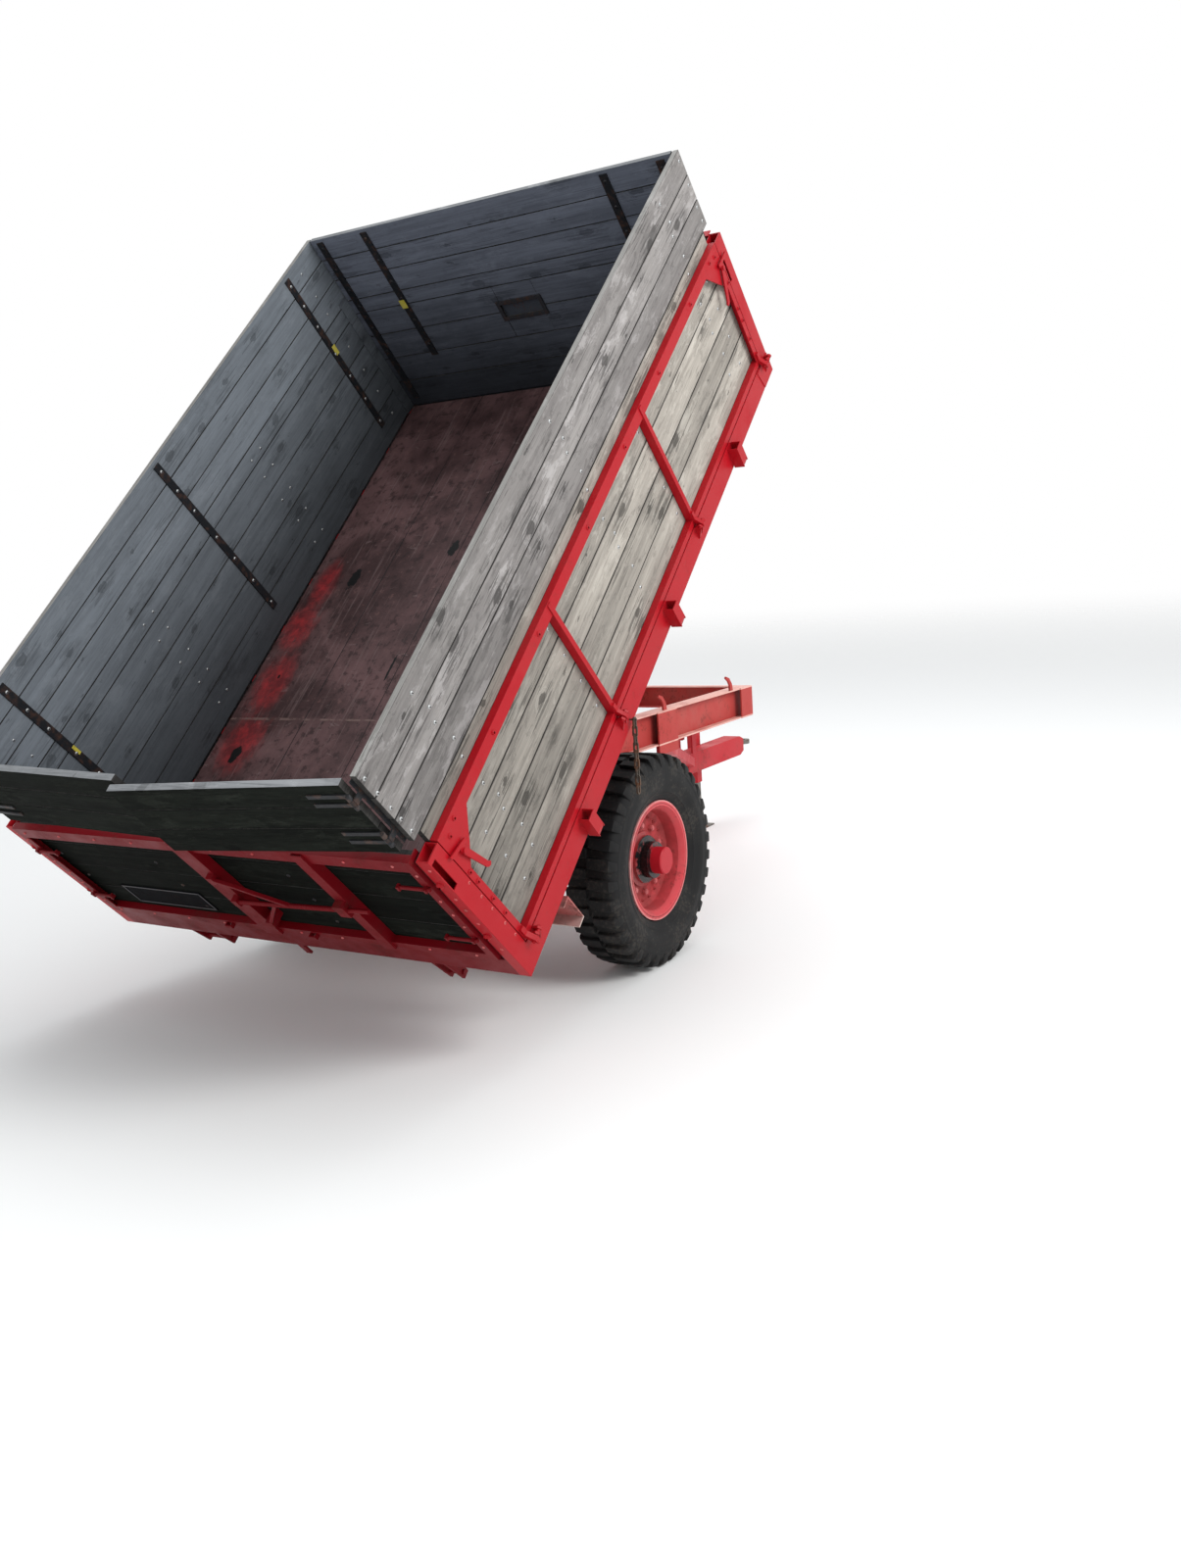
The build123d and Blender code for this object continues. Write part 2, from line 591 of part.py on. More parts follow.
def hinge_lugs(places, face):
    """A pair of lugs on the rail's outer face with the drop side's pin: places are one row of the table."""
    y, v = -SIDE_PIN_Y, SIDE_PIN_V
    outline = [(face, 40), (face, RAIL_H), (y, v + 15), (y - 14, v), (y, v - 15)]
    eye_u, *lugs = places
    piece = rod_x(y, v, SIDE_PIN_R, min(eye_u - 18, lugs[0] - 12), lugs[1] + 12)
    for u in lugs:
        piece += profile_x(outline, u - 6, u + 6)
    return piece


def side_rail():
    """The outer rail, a channel with three stake pockets and the drop side's hinge lugs."""
    face = -BED_HALF
    rail = block(RAIL_REAR_U, BED_LENGTH, face, face + 6, 0, RAIL_H)
    for v in (0, RAIL_H - 6):
        rail += block(RAIL_REAR_U, BED_LENGTH, face, face + RAIL_W, v, v + 6)
    pieces = [rail]
    skin = 5.0
    for u in POCKETS_U:
        for u0 in (u - 30, u + 30 - skin):
            pieces.append(block(u0, u0 + skin, face - 56, face, -12, 108))
        plate = [(face - 56, 8), (face - 56 + skin, -12), (face - 56 + skin, 108), (face - 56, 108)]
        pieces.append(profile_x(plate, u - 30 + skin, u + 30 - skin))
    pieces += [hinge_lugs(places, face) for places in SIDE_HINGES]
    foot = [(BED_LENGTH - 173, 104), (BED_LENGTH - 146, 3), (BED_LENGTH, 3), (BED_LENGTH, RAIL_H - 4),
            (BED_LENGTH - 173, RAIL_H - 4)]
    pieces[-1] += profile_y(foot, face - 4, face)
    return pieces


def rear_sill():
    """The bed's rear cross sill with its lugs below the tailgate."""
    half = BED_HALF - POST_W
    u = POST_REAR_U
    sill = block(u, u + 6, -half, half, 0, 125)
    for v in (0, 119):
        sill += block(u, SILL_REAR_U, -half, half, v, v + 6)
    for y, wide, low in ((680, 90, -130), (-750, 40, -160)):
        for edge in (y - wide, y + wide - 14):
            sill += profile_y([(u + 1, 3), (60, 3), (44, low), (5, low)], edge, edge + 14)
        sill += rod_y(24, low + 26, 12, y - wide - 8, y + wide + 8)
    return sill + block(u + 1, u + 13, 34, 66, -80, 3)


def corner_posts():
    """Four tubular corner posts, open at the top, with a slot in the outer face for the side's latch."""
    pieces = []
    face = -BED_HALF
    skin = 6.0
    table = ((POST_REAR_U, 0, (5, 35, 660, 830)), (BED_LENGTH - POST_L, RAIL_H, (8, 30, 620, 746)))
    for u, low, slot in table:
        post = block(u, u + POST_L, face, face + POST_W, low, POST_TOP)
        y0, y1 = face + skin, face + POST_W - skin
        post -= block(u + skin, u + POST_L - skin, y0, y1, low + skin, POST_TOP + 1)
        u0, u1, v0, v1 = slot
        post -= block(u + u0, u + u1, face - 1, face + skin + 1, v0, v1)
        if u == POST_REAR_U:
            post -= rod_y(GATE_PIN_U, GATE_PIN_V, GATE_PIN_R + FIT, y1 - 1, y1 + skin + 1)
        pieces += both(post)
    return pieces


def planks(u0, u1, y0, y1, low, top, seams):
    """A flat board wall with shallow grooves where its planks meet."""
    wall = block(u0, u1, y0, y1, low, top)
    half = PLANK_GROOVE / 2
    for v in seams:
        if abs(u1 - u0) > abs(y1 - y0):
            for y in (y0, y1):
                wall -= block(u0 - 1, u1 + 1, y - 3, y + 3, v - half, v + half)
        else:
            for u in (u0, u1):
                wall -= block(u - 3, u + 3, y0 - 1, y1 + 1, v - half, v + half)
    return wall


def front_boards():
    """The front wall's lower planks, cut for the small hatch, and the boards lining its two corners."""
    wall = planks(FRONT_U, FRONT_U + BOARD_T, -INSIDE_HALF, INSIDE_HALF, BOARD_LOW, BOARD_TOP, SIDE_SEAMS)
    y0, y1, v0, v1 = HATCH
    wall -= block(FRONT_U - 1, FRONT_U + BOARD_T + 1, y0 + 20, y1 - 20, v0 + 20, v1 - 20)
    post = BED_HALF - POST_W
    corner = block(BED_LENGTH - POST_L, FRONT_U, -post, -post + 7, BOARD_LOW, POST_TOP)
    return [wall] + both(corner)


def front_extension():
    """The front wall's upper planks."""
    return planks(FRONT_U, FRONT_U + BOARD_T, -INSIDE_HALF, INSIDE_HALF, EXT_LOW, EXT_TOP, EXT_SEAMS)


def front_frame():
    """Outer rails and uprights of the front wall, and the flat straps inside it."""
    u = FRONT_U + BOARD_T
    half = BED_HALF - POST_W
    frame = block(u, u + 6, -half, half, SIDE_TOP - 60, SIDE_TOP)
    frame += block(u, u + 45, -half, half, SIDE_TOP - 6, SIDE_TOP)
    frame += block(u, u + 6, -half, half, RAIL_H, BOARD_LOW + 60)
    frame += block(FRONT_U, u + 45, -half, half, RAIL_H + 14, RAIL_H + 20)
    for y in (-1130, -410, 410, 1130):
        frame += block(u, u + 6, y - 30, y + 30, RAIL_H, SIDE_TOP)
        frame += block(u, u + 40, y - 3, y + 3, RAIL_H, SIDE_TOP)
    straps = []
    for y, low in ((-1095, 200), (-775, 480), (775, 480), (1095, 200)):
        straps.append(block(FRONT_U - 6, FRONT_U, y - 22, y + 22, low, EXT_TOP - 20))
    return [frame] + straps


def front_hatch():
    """A framed plate over the opening in the front wall."""
    y0, y1, v0, v1 = HATCH
    rim_in = 22.0
    piece = block(FRONT_U - 8, FRONT_U, y0, y1, v0, v1)
    piece -= block(FRONT_U - 9, FRONT_U + 1, y0 + rim_in, y1 - rim_in, v0 + rim_in, v1 - rim_in)
    return [piece, block(FRONT_U + 10, FRONT_U + 16, y0 + 20.5, y1 - 20.5, v0 + 20.5, v1 - 20.5)]


def rear_under_beam():
    """A deep channel across the bed's underside behind the wheels."""
    u, top, low = UNDER_BEAM_U, SILL_LOW, SILL_LOW - 170
    beam = block(u - 7, u, -1200, 1200, low, top)
    for v in (low, top - 8):
        beam += block(u - 57, u, -1200, 1200, v, v + 8)
    return beam


def side_boards():
    """The drop side's planks."""
    return planks(SIDE_REAR_U, SIDE_FRONT_U, -BOARD_OUT, -BOARD_IN, BOARD_LOW, BOARD_TOP, SIDE_SEAMS)


def side_extension():
    """The upper planks carried by the drop side."""
    return planks(EXT_REAR_U, BED_LENGTH - 25, -BOARD_OUT, -BOARD_IN, EXT_LOW, EXT_TOP, EXT_SEAMS)


def hinge_eye(u, half):
    """A strap that reaches from the drop side's frame down to an eye on its hinge pin."""
    y, v, out = -SIDE_PIN_Y, SIDE_PIN_V, -BED_HALF
    outline = [(out + 2, 200), (out - 13, 200), (out - 13, 160), (y, v + 22), (y - 15, v + 8),
               (y - 15, v - 8), (y, v - 16), (y + 13, v - 9), (out - 6, v + 20), (out - 6, 142),
               (out + 2, 142)]
    eye = profile_x(outline, u - half, u + half)
    return eye - rod_x(y, v, SIDE_PIN_R + FIT, u - half - 1, u + half + 1)


def latch_lever(u, v, lean, swing):
    """A flat lever on its boss, with the hook arm that reaches over the corner post's face."""
    face = -BED_HALF
    front, back = face - 14, face - 7
    arm = [(-13, 20), (13, 22), (52, -150), (62, -166), (50, -176), (36, -170), (28, -158), (-11, -12)]
    hook = [(-71, 56), (-66, 38), (34, 12), (38, 30)]
    lever = Part()
    for outline in (arm, hook):
        lever += profile_y([(lean * a, b) for a, b in outline], front, back)
    lever = Pos(u, 0, v) * Rot(0, -lean * swing, 0) * lever
    return lever + rod_y(u, v, 12, face - 20, face + 3)


def side_frame():
    """The drop side's steel frame, latch levers and hinge eyes in one, and its inner straps."""
    out = -BED_HALF
    skin = -BOARD_OUT
    u0, u1 = SIDE_REAR_U, SIDE_FRONT_U
    frame = block(u0, u1, out, skin, SIDE_TOP - 6, SIDE_TOP)
    frame += block(u0, u1, out, out + 6, SIDE_TOP - 60, SIDE_TOP)
    frame += block(u0, u1, out, skin, 152, 158)
    frame += block(u0, u1, out, out + 6, 128, 158)
    for u, lean in ((u0, 1), (u1, -1)):
        frame += block(u, u + lean * 35, out, out + 6, 128, SIDE_TOP)
        frame += block(u, u + lean * 6, out, skin, 152, SIDE_TOP)
        gusset = [(0, 624), (35, 626), (104, 692), (208, SIDE_TOP - 60), (208, SIDE_TOP - 30),
                  (0, SIDE_TOP - 30)]
        frame += profile_y([(u + lean * a, v) for a, v in gusset], out, out + 6)
    frame += latch_lever(u0 + 53, 715, 1, 0)
    frame += latch_lever(u1 - 33, 735, -1, 12)
    for u in STANCHIONS_U:
        frame += block(u - 13, u + 13, out - 5, skin, 158, SIDE_TOP - 6)
    for u, *lugs in SIDE_HINGES:
        frame += hinge_eye(u, 10 if u in STANCHIONS_U else 12)
    straps = []
    for u in STRAPS_U:
        straps.append(block(u - 22, u + 22, -BOARD_IN, -BOARD_IN + 6, 260, EXT_TOP - 25))
    return [frame] + straps


def leaf_corner():
    """The angle iron inside the side extension's rear edge, with the fixed knuckles of the leaf."""
    inside = -BOARD_IN
    piece = block(14, 60, inside, inside + 4, EXT_LOW + 8, EXT_TOP - 18)
    for v in LEAF_HINGES_V:
        piece += block(LEAF_PIN_U, 14, inside, inside + 4, v - 15, v + 15)
        piece += rod_z(LEAF_PIN_U, -LEAF_PIN_Y, KNUCKLE_R, v - 15, v + 15)
    return piece


def tailgate_boards():
    """The tailgate's planks."""
    half = GATE_HALF - 6
    return planks(GATE_U, GATE_U + BOARD_T, -half, half, BOARD_LOW, SIDE_TOP, GATE_SEAMS)


def gate_upright(y, half):
    """A channel upright outside the tailgate's rails."""
    bar = block(GATE_U - 47, GATE_U - 41, y - half, y + half, BOARD_LOW, GATE_TOP - 6)
    for edge in (y - half, y + half - 6):
        bar += block(GATE_U - 47, GATE_U, edge, edge + 6, BOARD_LOW, GATE_TOP - 6)
    return bar


def tailgate_frame():
    """The tailgate's rails and uprights, its two pivot pins and the lock rods at its ends."""
    half = GATE_HALF
    back = GATE_U - 35
    frame = Part()
    for v0, v1 in ((GATE_TOP - 70, GATE_TOP), (BOARD_LOW, BOARD_LOW + 45)):
        frame += block(back, back + 6, -half, half, v0, v1)
        frame += block(back, GATE_U, -half, half, v0, v0 + 6)
        frame += block(back, GATE_U, -half, half, v1 - 6, v1)
    for y, wide in ((75, 50), (-600, 30)):
        frame += gate_upright(y, wide)
    for side in (-1, 1):
        frame += block(back, back + 6, side * half, side * (half - 40), BOARD_LOW, GATE_TOP)
        frame += block(back, GATE_U + BOARD_T, side * half, side * (half - 6), BOARD_LOW, GATE_TOP)
        for v in (700, 320):
            frame += rod_y(back - 10, v, 8, side * (half - 160), side * half)
            for y in (half - 150, half - 20):
                frame += block(back - 21, back, side * y - 6, side * y + 6, v - 12, v + 12)
    frame += rod_y(back + 4, GATE_TOP - 8, 12, 70, 130)
    for y in (340, -180):
        for edge in (y - 20, y + 14):
            frame += block(back - 22, back, edge, edge + 6, 158, 180)
        frame += block(back - 22, back - 16, y - 20, y + 20, 158, 180)
    pins = [rod_y(GATE_PIN_U, GATE_PIN_V, GATE_PIN_R, side * half, side * (half + 22)) for side in (-1, 1)]
    return Compound(list(frame.solids()) + pins)


def tailgate_latch():
    """The tailgate's central latch: curved lever, threaded rod, clamp and link."""
    u = GATE_U - 67
    skin = GATE_U - 47
    latch = round_bar((u, 30, 462), (u, -740, 508), 10)
    for a, b in (((36, 638), (-60, 600)), ((-60, 600), (-145, 554)), ((-145, 554), (-292, 482))):
        latch += strut((u, *a), (u, *b), 16, 16)
    latch += block(u - 8, skin, 20, 58, 612, 658)
    latch += block(u - 13, skin, 18, 50, 440, 484)
    latch += block(u - 15, skin, -628, -572, 465, 540)
    latch += strut((u, -198, 474), (u, -28, 290), 12, 16)
    return latch + block(u - 8, GATE_U, -46, -10, 268, 306)


def blank_plate():
    """A blank plate with a raised border on the tailgate's left bay."""
    y0, y1, v0, v1 = 400, 930, 220, 370
    plate = block(GATE_U - 3, GATE_U, y0, y1, v0, v1)
    border = block(GATE_U - 5, GATE_U - 3, y0, y1, v0, v1)
    return plate + border - block(GATE_U - 6, GATE_U - 3, y0 + 8, y1 - 8, v0 + 8, v1 - 8)


def rear_leaf(side, ajar_deg):
    """A rear leaf on its strap hinges: side -1 is the right-hand one."""
    inner = LEAF_SPLIT_Y + side * 4
    outer = side * (LEAF_PIN_Y - 12)
    leaf = planks(LEAF_U, LEAF_U + 34, min(inner, outer), max(inner, outer), LEAF_LOW, EXT_TOP, EXT_SEAMS)
    pieces = [leaf]
    pin_y = side * LEAF_PIN_Y
    for v in LEAF_HINGES_V:
        for low, high in ((v - 36, v - 16), (v + 16, v + 36)):
            y0, y1 = sorted((pin_y, side * (LEAF_PIN_Y - 190)))
            strap = block(LEAF_U - 6, LEAF_U, y0, y1, low, high)
            pieces.append(strap + rod_z(LEAF_PIN_U, pin_y, KNUCKLE_R, low, high))
    turn = Pos(LEAF_PIN_U, pin_y, 0) * Rot(0, 0, -side * ajar_deg) * Pos(-LEAF_PIN_U, -pin_y, 0)
    return [turn * piece for piece in pieces]


def chain_link():
    """A flat link of square bar with cut corners, upright at the origin."""
    outlines = []
    for half, long, cut in ((13, 27, 7), (5, 19, 3)):
        outlines.append([(half, long - cut), (half - cut, long), (cut - half, long), (-half, long - cut),
                         (-half, cut - long), (cut - half, -long), (half - cut, -long), (half, cut - long)])
    outer, inner = outlines
    return profile_y(outer, -LINK_T / 2, LINK_T / 2) - profile_y(inner, -LINK_T, LINK_T)


def keeper_chain():
    """A short chain that hangs straight down from the right-hand rail, its links alternately turned."""
    x, z = bed_point(CHAIN_U, CHAIN_V)
    y = -BED_HALF - 26
    pieces = []
    for i in range(CHAIN_LINKS):
        turn = Rot(0, 0, 90 * (i % 2))
        pieces.append(Pos(x, y, z - 14.5 - i * LINK_PITCH) * turn * chain_link())
    pieces[0] += rod_y(x, z, 4.5, -BED_HALF, y - 12)
    return pieces


# Chassis files
save("beam_right", beam_right())
save("beam_left", other_side(beam_right()))
save("cross_members", *cross_members())
save("tip_pivot", tip_pivot())
save("axle_beam", axle_beam())
save("leaf_springs", *both(leaf_spring()))
save("drawbar", drawbar())
save("towing_eye", towing_eye())
save("stand_tube", stand_tube())
save("stand_leg", stand_leg())

# Wheel files
for name, piece in (("tyre", tyre()), ("rim", rim()), ("hub", hub())):
    save(f"{name}_right", piece)
    save(f"{name}_left", other_side(piece))

# Ram files
save("ram_barrel", ram(ram_barrel()))
save("ram_stage_1", ram(ram_stage(0)))
save("ram_stage_2", ram(ram_stage(1)))
save("ram_rod", ram(ram_rod()))

# Bed files
save("bed_underframe", *[bed(p) for p in bed_underframe()])
save("ram_cup", bed(ram_cup()))
save("floor_sheet", bed(floor_sheet()))
save("side_rail_right", *[bed(p) for p in side_rail()])
save("side_rail_left", *[bed(other_side(p)) for p in side_rail()])
save("rear_sill", bed(rear_sill()))
save("corner_posts", *[bed(p) for p in corner_posts()])
save("front_boards", *[bed(p) for p in front_boards()])
save("front_extension", bed(front_extension()))
save("front_frame", *[bed(p) for p in front_frame()])
save("front_hatch", *[bed(p) for p in front_hatch()])
save("rear_under_beam", bed(rear_under_beam()))
save("keeper_chain", *keeper_chain())

# Drop side, tailgate and leaf files
save("side_boards_right", bed(side_boards()))
save("side_boards_left", bed(other_side(side_boards())))
save("side_extension_right", bed(side_extension()))
save("side_extension_left", bed(other_side(side_extension())))
save("side_frame_right", *[bed(p) for p in side_frame() + [leaf_corner()]])
save("side_frame_left", *[bed(other_side(p)) for p in side_frame() + [leaf_corner()]])
save("tailgate_boards", bed(tailgate_boards()))
save("tailgate_frame", bed(tailgate_frame()))
save("tailgate_latch", bed(tailgate_latch()))
save("blank_plate", bed(blank_plate()))
save("rear_leaf_right", *[bed(p) for p in rear_leaf(-1, LEAF_AJAR_RIGHT)])
save("rear_leaf_left", *[bed(p) for p in rear_leaf(1, LEAF_AJAR_LEFT)])
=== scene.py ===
"""Looks of a farm tipping trailer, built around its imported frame."""

import json
import logging
import math
from collections.abc import Callable, Iterable, Sequence
from dataclasses import dataclass, field
from enum import Enum

import bmesh
import bpy
import numpy as np
from mathutils import Matrix, Vector


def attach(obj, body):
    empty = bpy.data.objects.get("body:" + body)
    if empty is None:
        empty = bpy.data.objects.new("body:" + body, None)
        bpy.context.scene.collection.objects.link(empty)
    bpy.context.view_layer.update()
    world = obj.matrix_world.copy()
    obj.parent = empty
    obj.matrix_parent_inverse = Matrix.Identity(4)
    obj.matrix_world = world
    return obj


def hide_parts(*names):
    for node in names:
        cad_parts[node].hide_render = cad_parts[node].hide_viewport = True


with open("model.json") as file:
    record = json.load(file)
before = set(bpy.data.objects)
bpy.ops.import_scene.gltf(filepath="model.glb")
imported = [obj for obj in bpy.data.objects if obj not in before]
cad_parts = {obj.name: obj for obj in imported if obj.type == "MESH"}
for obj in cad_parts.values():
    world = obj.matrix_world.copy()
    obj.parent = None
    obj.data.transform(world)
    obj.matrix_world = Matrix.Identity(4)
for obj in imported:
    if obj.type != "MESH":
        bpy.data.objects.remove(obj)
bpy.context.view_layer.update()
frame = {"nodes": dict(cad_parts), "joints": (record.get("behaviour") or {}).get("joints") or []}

LOG = logging.getLogger("trailer")
SEED = 7
Colour = tuple[float, float, float]
Place = tuple[float, float, float]
Input = bpy.types.NodeSocket | float | int | Sequence[float] | str

# The bed's own frame, in metres: u forward from its rear edge, y left, v up from its rail's lower edge
HINGE_U = 1.104
HINGE_V = -0.120
FLOOR_V = 0.14
SIDE_SEAMS = (0.145, 0.330, 0.500, 0.670, 0.835, 0.925)
EXT_SEAMS = (0.9255, 1.065, 1.197, 1.328)
GATE_SEAMS = (0.145, 0.335, 0.525, 0.715, 0.860)
LEAF_SEAMS = (0.908, 1.065, 1.197, 1.328)
STRAPS_U = (0.450, 1.880, 3.370)
FRONT_STRAPS_Y = (-1.095, -0.775, 0.775, 1.095)

# The chassis and the wheels, in metres: WHEEL_Y is from the trailer's middle to a wheel's middle plane
FLANGE_TOPS = (1.078, 0.887)
WHEEL_Y = 1.045
TYRE_R = 0.527
HUB_Z = 0.527


def rgb(red: int, green: int, blue: int) -> Colour:
    """Turns a colour as it looks on screen into the linear one that shaders use.

    Args:
        red: From 0 to 255.
        green: From 0 to 255.
        blue: From 0 to 255.

    Returns:
        The linear colour, each part from 0 to 1.
    """
    parts = []
    for part in (red, green, blue):
        c = part / 255
        parts.append(c / 12.92 if c <= 0.04045 else ((c + 0.055) / 1.055) ** 2.4)
    return parts[0], parts[1], parts[2]


class Grain(Enum):
    """Which way a board's fibres run in the bed's frame, as a scale on (u, y, v)."""

    ALONG = (1.0, 30.0, 30.0)
    ACROSS = (30.0, 1.0, 30.0)


class Side(Enum):
    """The two sides of the trailer, as the sign of y."""

    RIGHT = -1
    LEFT = 1


# How a bolt's head, which stands along Z, is turned to look away from the trailer's middle, or to the rear
OUTWARD = {Side.RIGHT: (math.pi / 2, 0.0, 0.0), Side.LEFT: (-math.pi / 2, 0.0, 0.0)}
REARWARD = (0.0, -math.pi / 2, 0.0)


def joint(name: str) -> dict:
    """Finds a joint's record in the frame by its name."""
    return next(j for j in frame["joints"] if j["name"] == name)


TIP = math.radians(joint("bed_tip")["range_deg"][1])
BED = (
    Matrix.Translation(Vector(joint("bed_tip")["pos_m"]))
    @ Matrix.Rotation(-TIP, 4, "Y")
    @ Matrix.Translation((-HINGE_U, 0, -HINGE_V))
)
AXLE_X = joint("wheel_right_spin")["pos_m"][0]


def local_box(node: str, turn: Matrix) -> tuple[Vector, Vector]:
    """Measures a frame node in the coordinates of a matrix.

    Args:
        node: The frame node.
        turn: The matrix from those coordinates to the frame's.

    Returns:
        Its lowest and its highest corner.
    """
    back = turn.inverted()
    points = np.array([back @ v.co for v in frame["nodes"][node].data.vertices])
    return Vector(points.min(0)), Vector(points.max(0))


def leaf_frame(side: Side) -> Matrix:
    """The frame of a rear leaf: the bed's, turned about the leaf's pin by the angle that it stands ajar.

    Args:
        side: Which leaf.

    Returns:
        The matrix from the leaf's own coordinates to the frame's.
    """
    found = joint(f"leaf_{side.name.lower()}_swing")
    pin = BED.inverted() @ Vector(found["pos_m"])
    ajar = math.radians(-found["range_deg"][0])
    turn = Matrix.Rotation(-side.value * ajar, 4, "Z")
    return BED @ Matrix.Translation(pin) @ turn @ Matrix.Translation(-pin)


# Node trees


class Nodes:
    """A node tree with a short way to add and link its nodes."""

    def __init__(self, tree: bpy.types.NodeTree) -> None:
        """Keeps the tree."""
        self.tree = tree

    def add(self, kind: str, inputs: dict, out: int | str = 0, **settings: object) -> bpy.types.NodeSocket:
        """Adds a node.

        Args:
            kind: The node's type.
            inputs: Values or sockets by input name or number.
            out: Which output to return.
            settings: The node's own settings.

        Returns:
            The chosen output.
        """
        node = self.tree.nodes.new(kind)
        for key, value in settings.items():
            setattr(node, key, value)
        for key, value in inputs.items():
            if isinstance(value, bpy.types.NodeSocket):
                self.tree.links.new(value, node.inputs[key])
            else:
                node.inputs[key].default_value = value
        return node.outputs[out]


class Shader(Nodes):
    """A material's node tree, with short ways to add what the finishes use."""

    def __init__(self, name: str, in_bed: bool = False) -> None:
        """Starts a material.

        Args:
            name: The material's name.
            in_bed: Whether its pattern lies in the bed's frame instead of the trailer's.
        """
        self.material = bpy.data.materials.new(name)
        self.material.use_nodes = True
        super().__init__(self.material.node_tree)
        self.bsdf = self.tree.nodes["Principled BSDF"]
        inputs = {"Vector": self.add("ShaderNodeTexCoord", {}, "Object")}
        if in_bed:
            inputs |= {"Rotation": (0, TIP, 0), "Location": BED.inverted().translation}
        self.place = self.add("ShaderNodeMapping", inputs)

    def attribute(self, name: str) -> Input:
        """A number that the mesh holds at each point."""
        return self.add("ShaderNodeAttribute", {}, "Fac", attribute_name=name)

    def stretch(self, scale: Sequence[float], shift: Input = (0, 0, 0)) -> Input:
        """The place, shifted and then scaled along each axis."""
        moved = self.add("ShaderNodeVectorMath", {0: self.place, 1: shift}, operation="ADD")
        return self.add("ShaderNodeVectorMath", {0: moved, 1: scale}, operation="MULTIPLY")

    def length(self, vector: Input) -> Input:
        """The length of a vector."""
        return self.add("ShaderNodeVectorMath", {0: vector}, 1, operation="LENGTH")

    def axis(self, vector: Input, index: int) -> Input:
        """One part of a vector."""
        return self.add("ShaderNodeSeparateXYZ", {0: vector}, index)

    def noise(self, vector: Input, scale: float, detail: float = 4, rough: float = 0.55,
              twist: float = 0) -> Input:
        """A noise pattern, about 0.5 on average."""
        inputs = {"Vector": vector, "Scale": scale, "Detail": detail, "Roughness": rough, "Distortion": twist}
        return self.add("ShaderNodeTexNoise", inputs)

    def step(self, value: Input, low: float, high: float, start: float = 0, end: float = 1) -> Input:
        """A smooth step from start at low to end at high."""
        inputs = {"Value": value, "From Min": low, "From Max": high, "To Min": start, "To Max": end}
        return self.add("ShaderNodeMapRange", inputs, interpolation_type="SMOOTHSTEP")

    def math(self, operation: str, a: Input, b: Input = 0.0) -> Input:
        """A sum on two numbers."""
        return self.add("ShaderNodeMath", {0: a, 1: b}, operation=operation)

    def plus(self, a: Input, b: Input) -> Input:
        """Two numbers together."""
        return self.math("ADD", a, b)

    def minus(self, a: Input, b: Input) -> Input:
        """One number less another."""
        return self.math("SUBTRACT", a, b)

    def times(self, a: Input, b: Input) -> Input:
        """One number times another."""
        return self.math("MULTIPLY", a, b)

    def away(self, value: Input, centre: float) -> Input:
        """How far a number is from a middle one."""
        return self.math("ABSOLUTE", self.minus(value, centre))

    def sway(self, pattern: Input, size: float) -> Input:
        """A pattern moved to run evenly round 0, and scaled."""
        return self.times(self.minus(pattern, 0.5), size)

    def mix(self, share: Input, a: Input, b: Input, how: str = "MIX") -> Input:
        """Mixes two colours."""
        inputs = {0: share, 6: self.full(a), 7: self.full(b)}
        return self.add("ShaderNodeMix", inputs, 2, data_type="RGBA", blend_type=how, clamp_factor=True)

    @staticmethod
    def full(colour: Input) -> Input:
        """Adds the fourth part that a colour socket needs."""
        return colour if isinstance(colour, bpy.types.NodeSocket) else (*colour, 1.0)

    def spot(self, centre: Sequence[float], size: Sequence[float], soft: float) -> Input:
        """A soft blob.

        Args:
            centre: Its middle.
            size: The half sizes of the ellipsoid at which it ends.
            soft: The share of that size inside which it is full.

        Returns:
            1 at the centre and 0 outside.
        """
        shifted = self.stretch([1 / s for s in size], tuple(-c for c in centre))
        return self.step(self.length(shifted), soft, 1.0, 1, 0)

    def finish(self, colour: Input, rough: Input, metal: Input = 0.0, height: Input | None = None,
               strength: float = 0.3, depth: float = 0.001, round_edges: float = 0.0,
               gloss: float = 0.5) -> bpy.types.Material:
        """Links the last nodes to the shader.

        Args:
            colour: Base colour.
            rough: Roughness.
            metal: Metallic.
            height: What the bump follows, if anything.
            strength: The bump's strength.
            depth: The bump's depth in metres.
            round_edges: Radius of the soft highlight on sharp edges, in metres.
            gloss: The shader's specular level.

        Returns:
            The material.
        """
        self.bsdf.inputs["Specular IOR Level"].default_value = gloss
        for name, value in (("Base Color", colour), ("Roughness", rough), ("Metallic", metal)):
            if isinstance(value, bpy.types.NodeSocket):
                self.tree.links.new(value, self.bsdf.inputs[name])
            else:
                self.bsdf.inputs[name].default_value = (*value, 1.0) if name == "Base Color" else value
        normal = None
        if round_edges:
            normal = self.add("ShaderNodeBevel", {"Radius": round_edges}, samples=4)
        if height is not None:
            inputs = {"Height": height, "Strength": strength, "Distance": depth}
            if normal is not None:
                inputs["Normal"] = normal
            normal = self.add("ShaderNodeBump", inputs)
        if normal is not None:
            self.tree.links.new(normal, self.bsdf.inputs["Normal"])
        return self.material


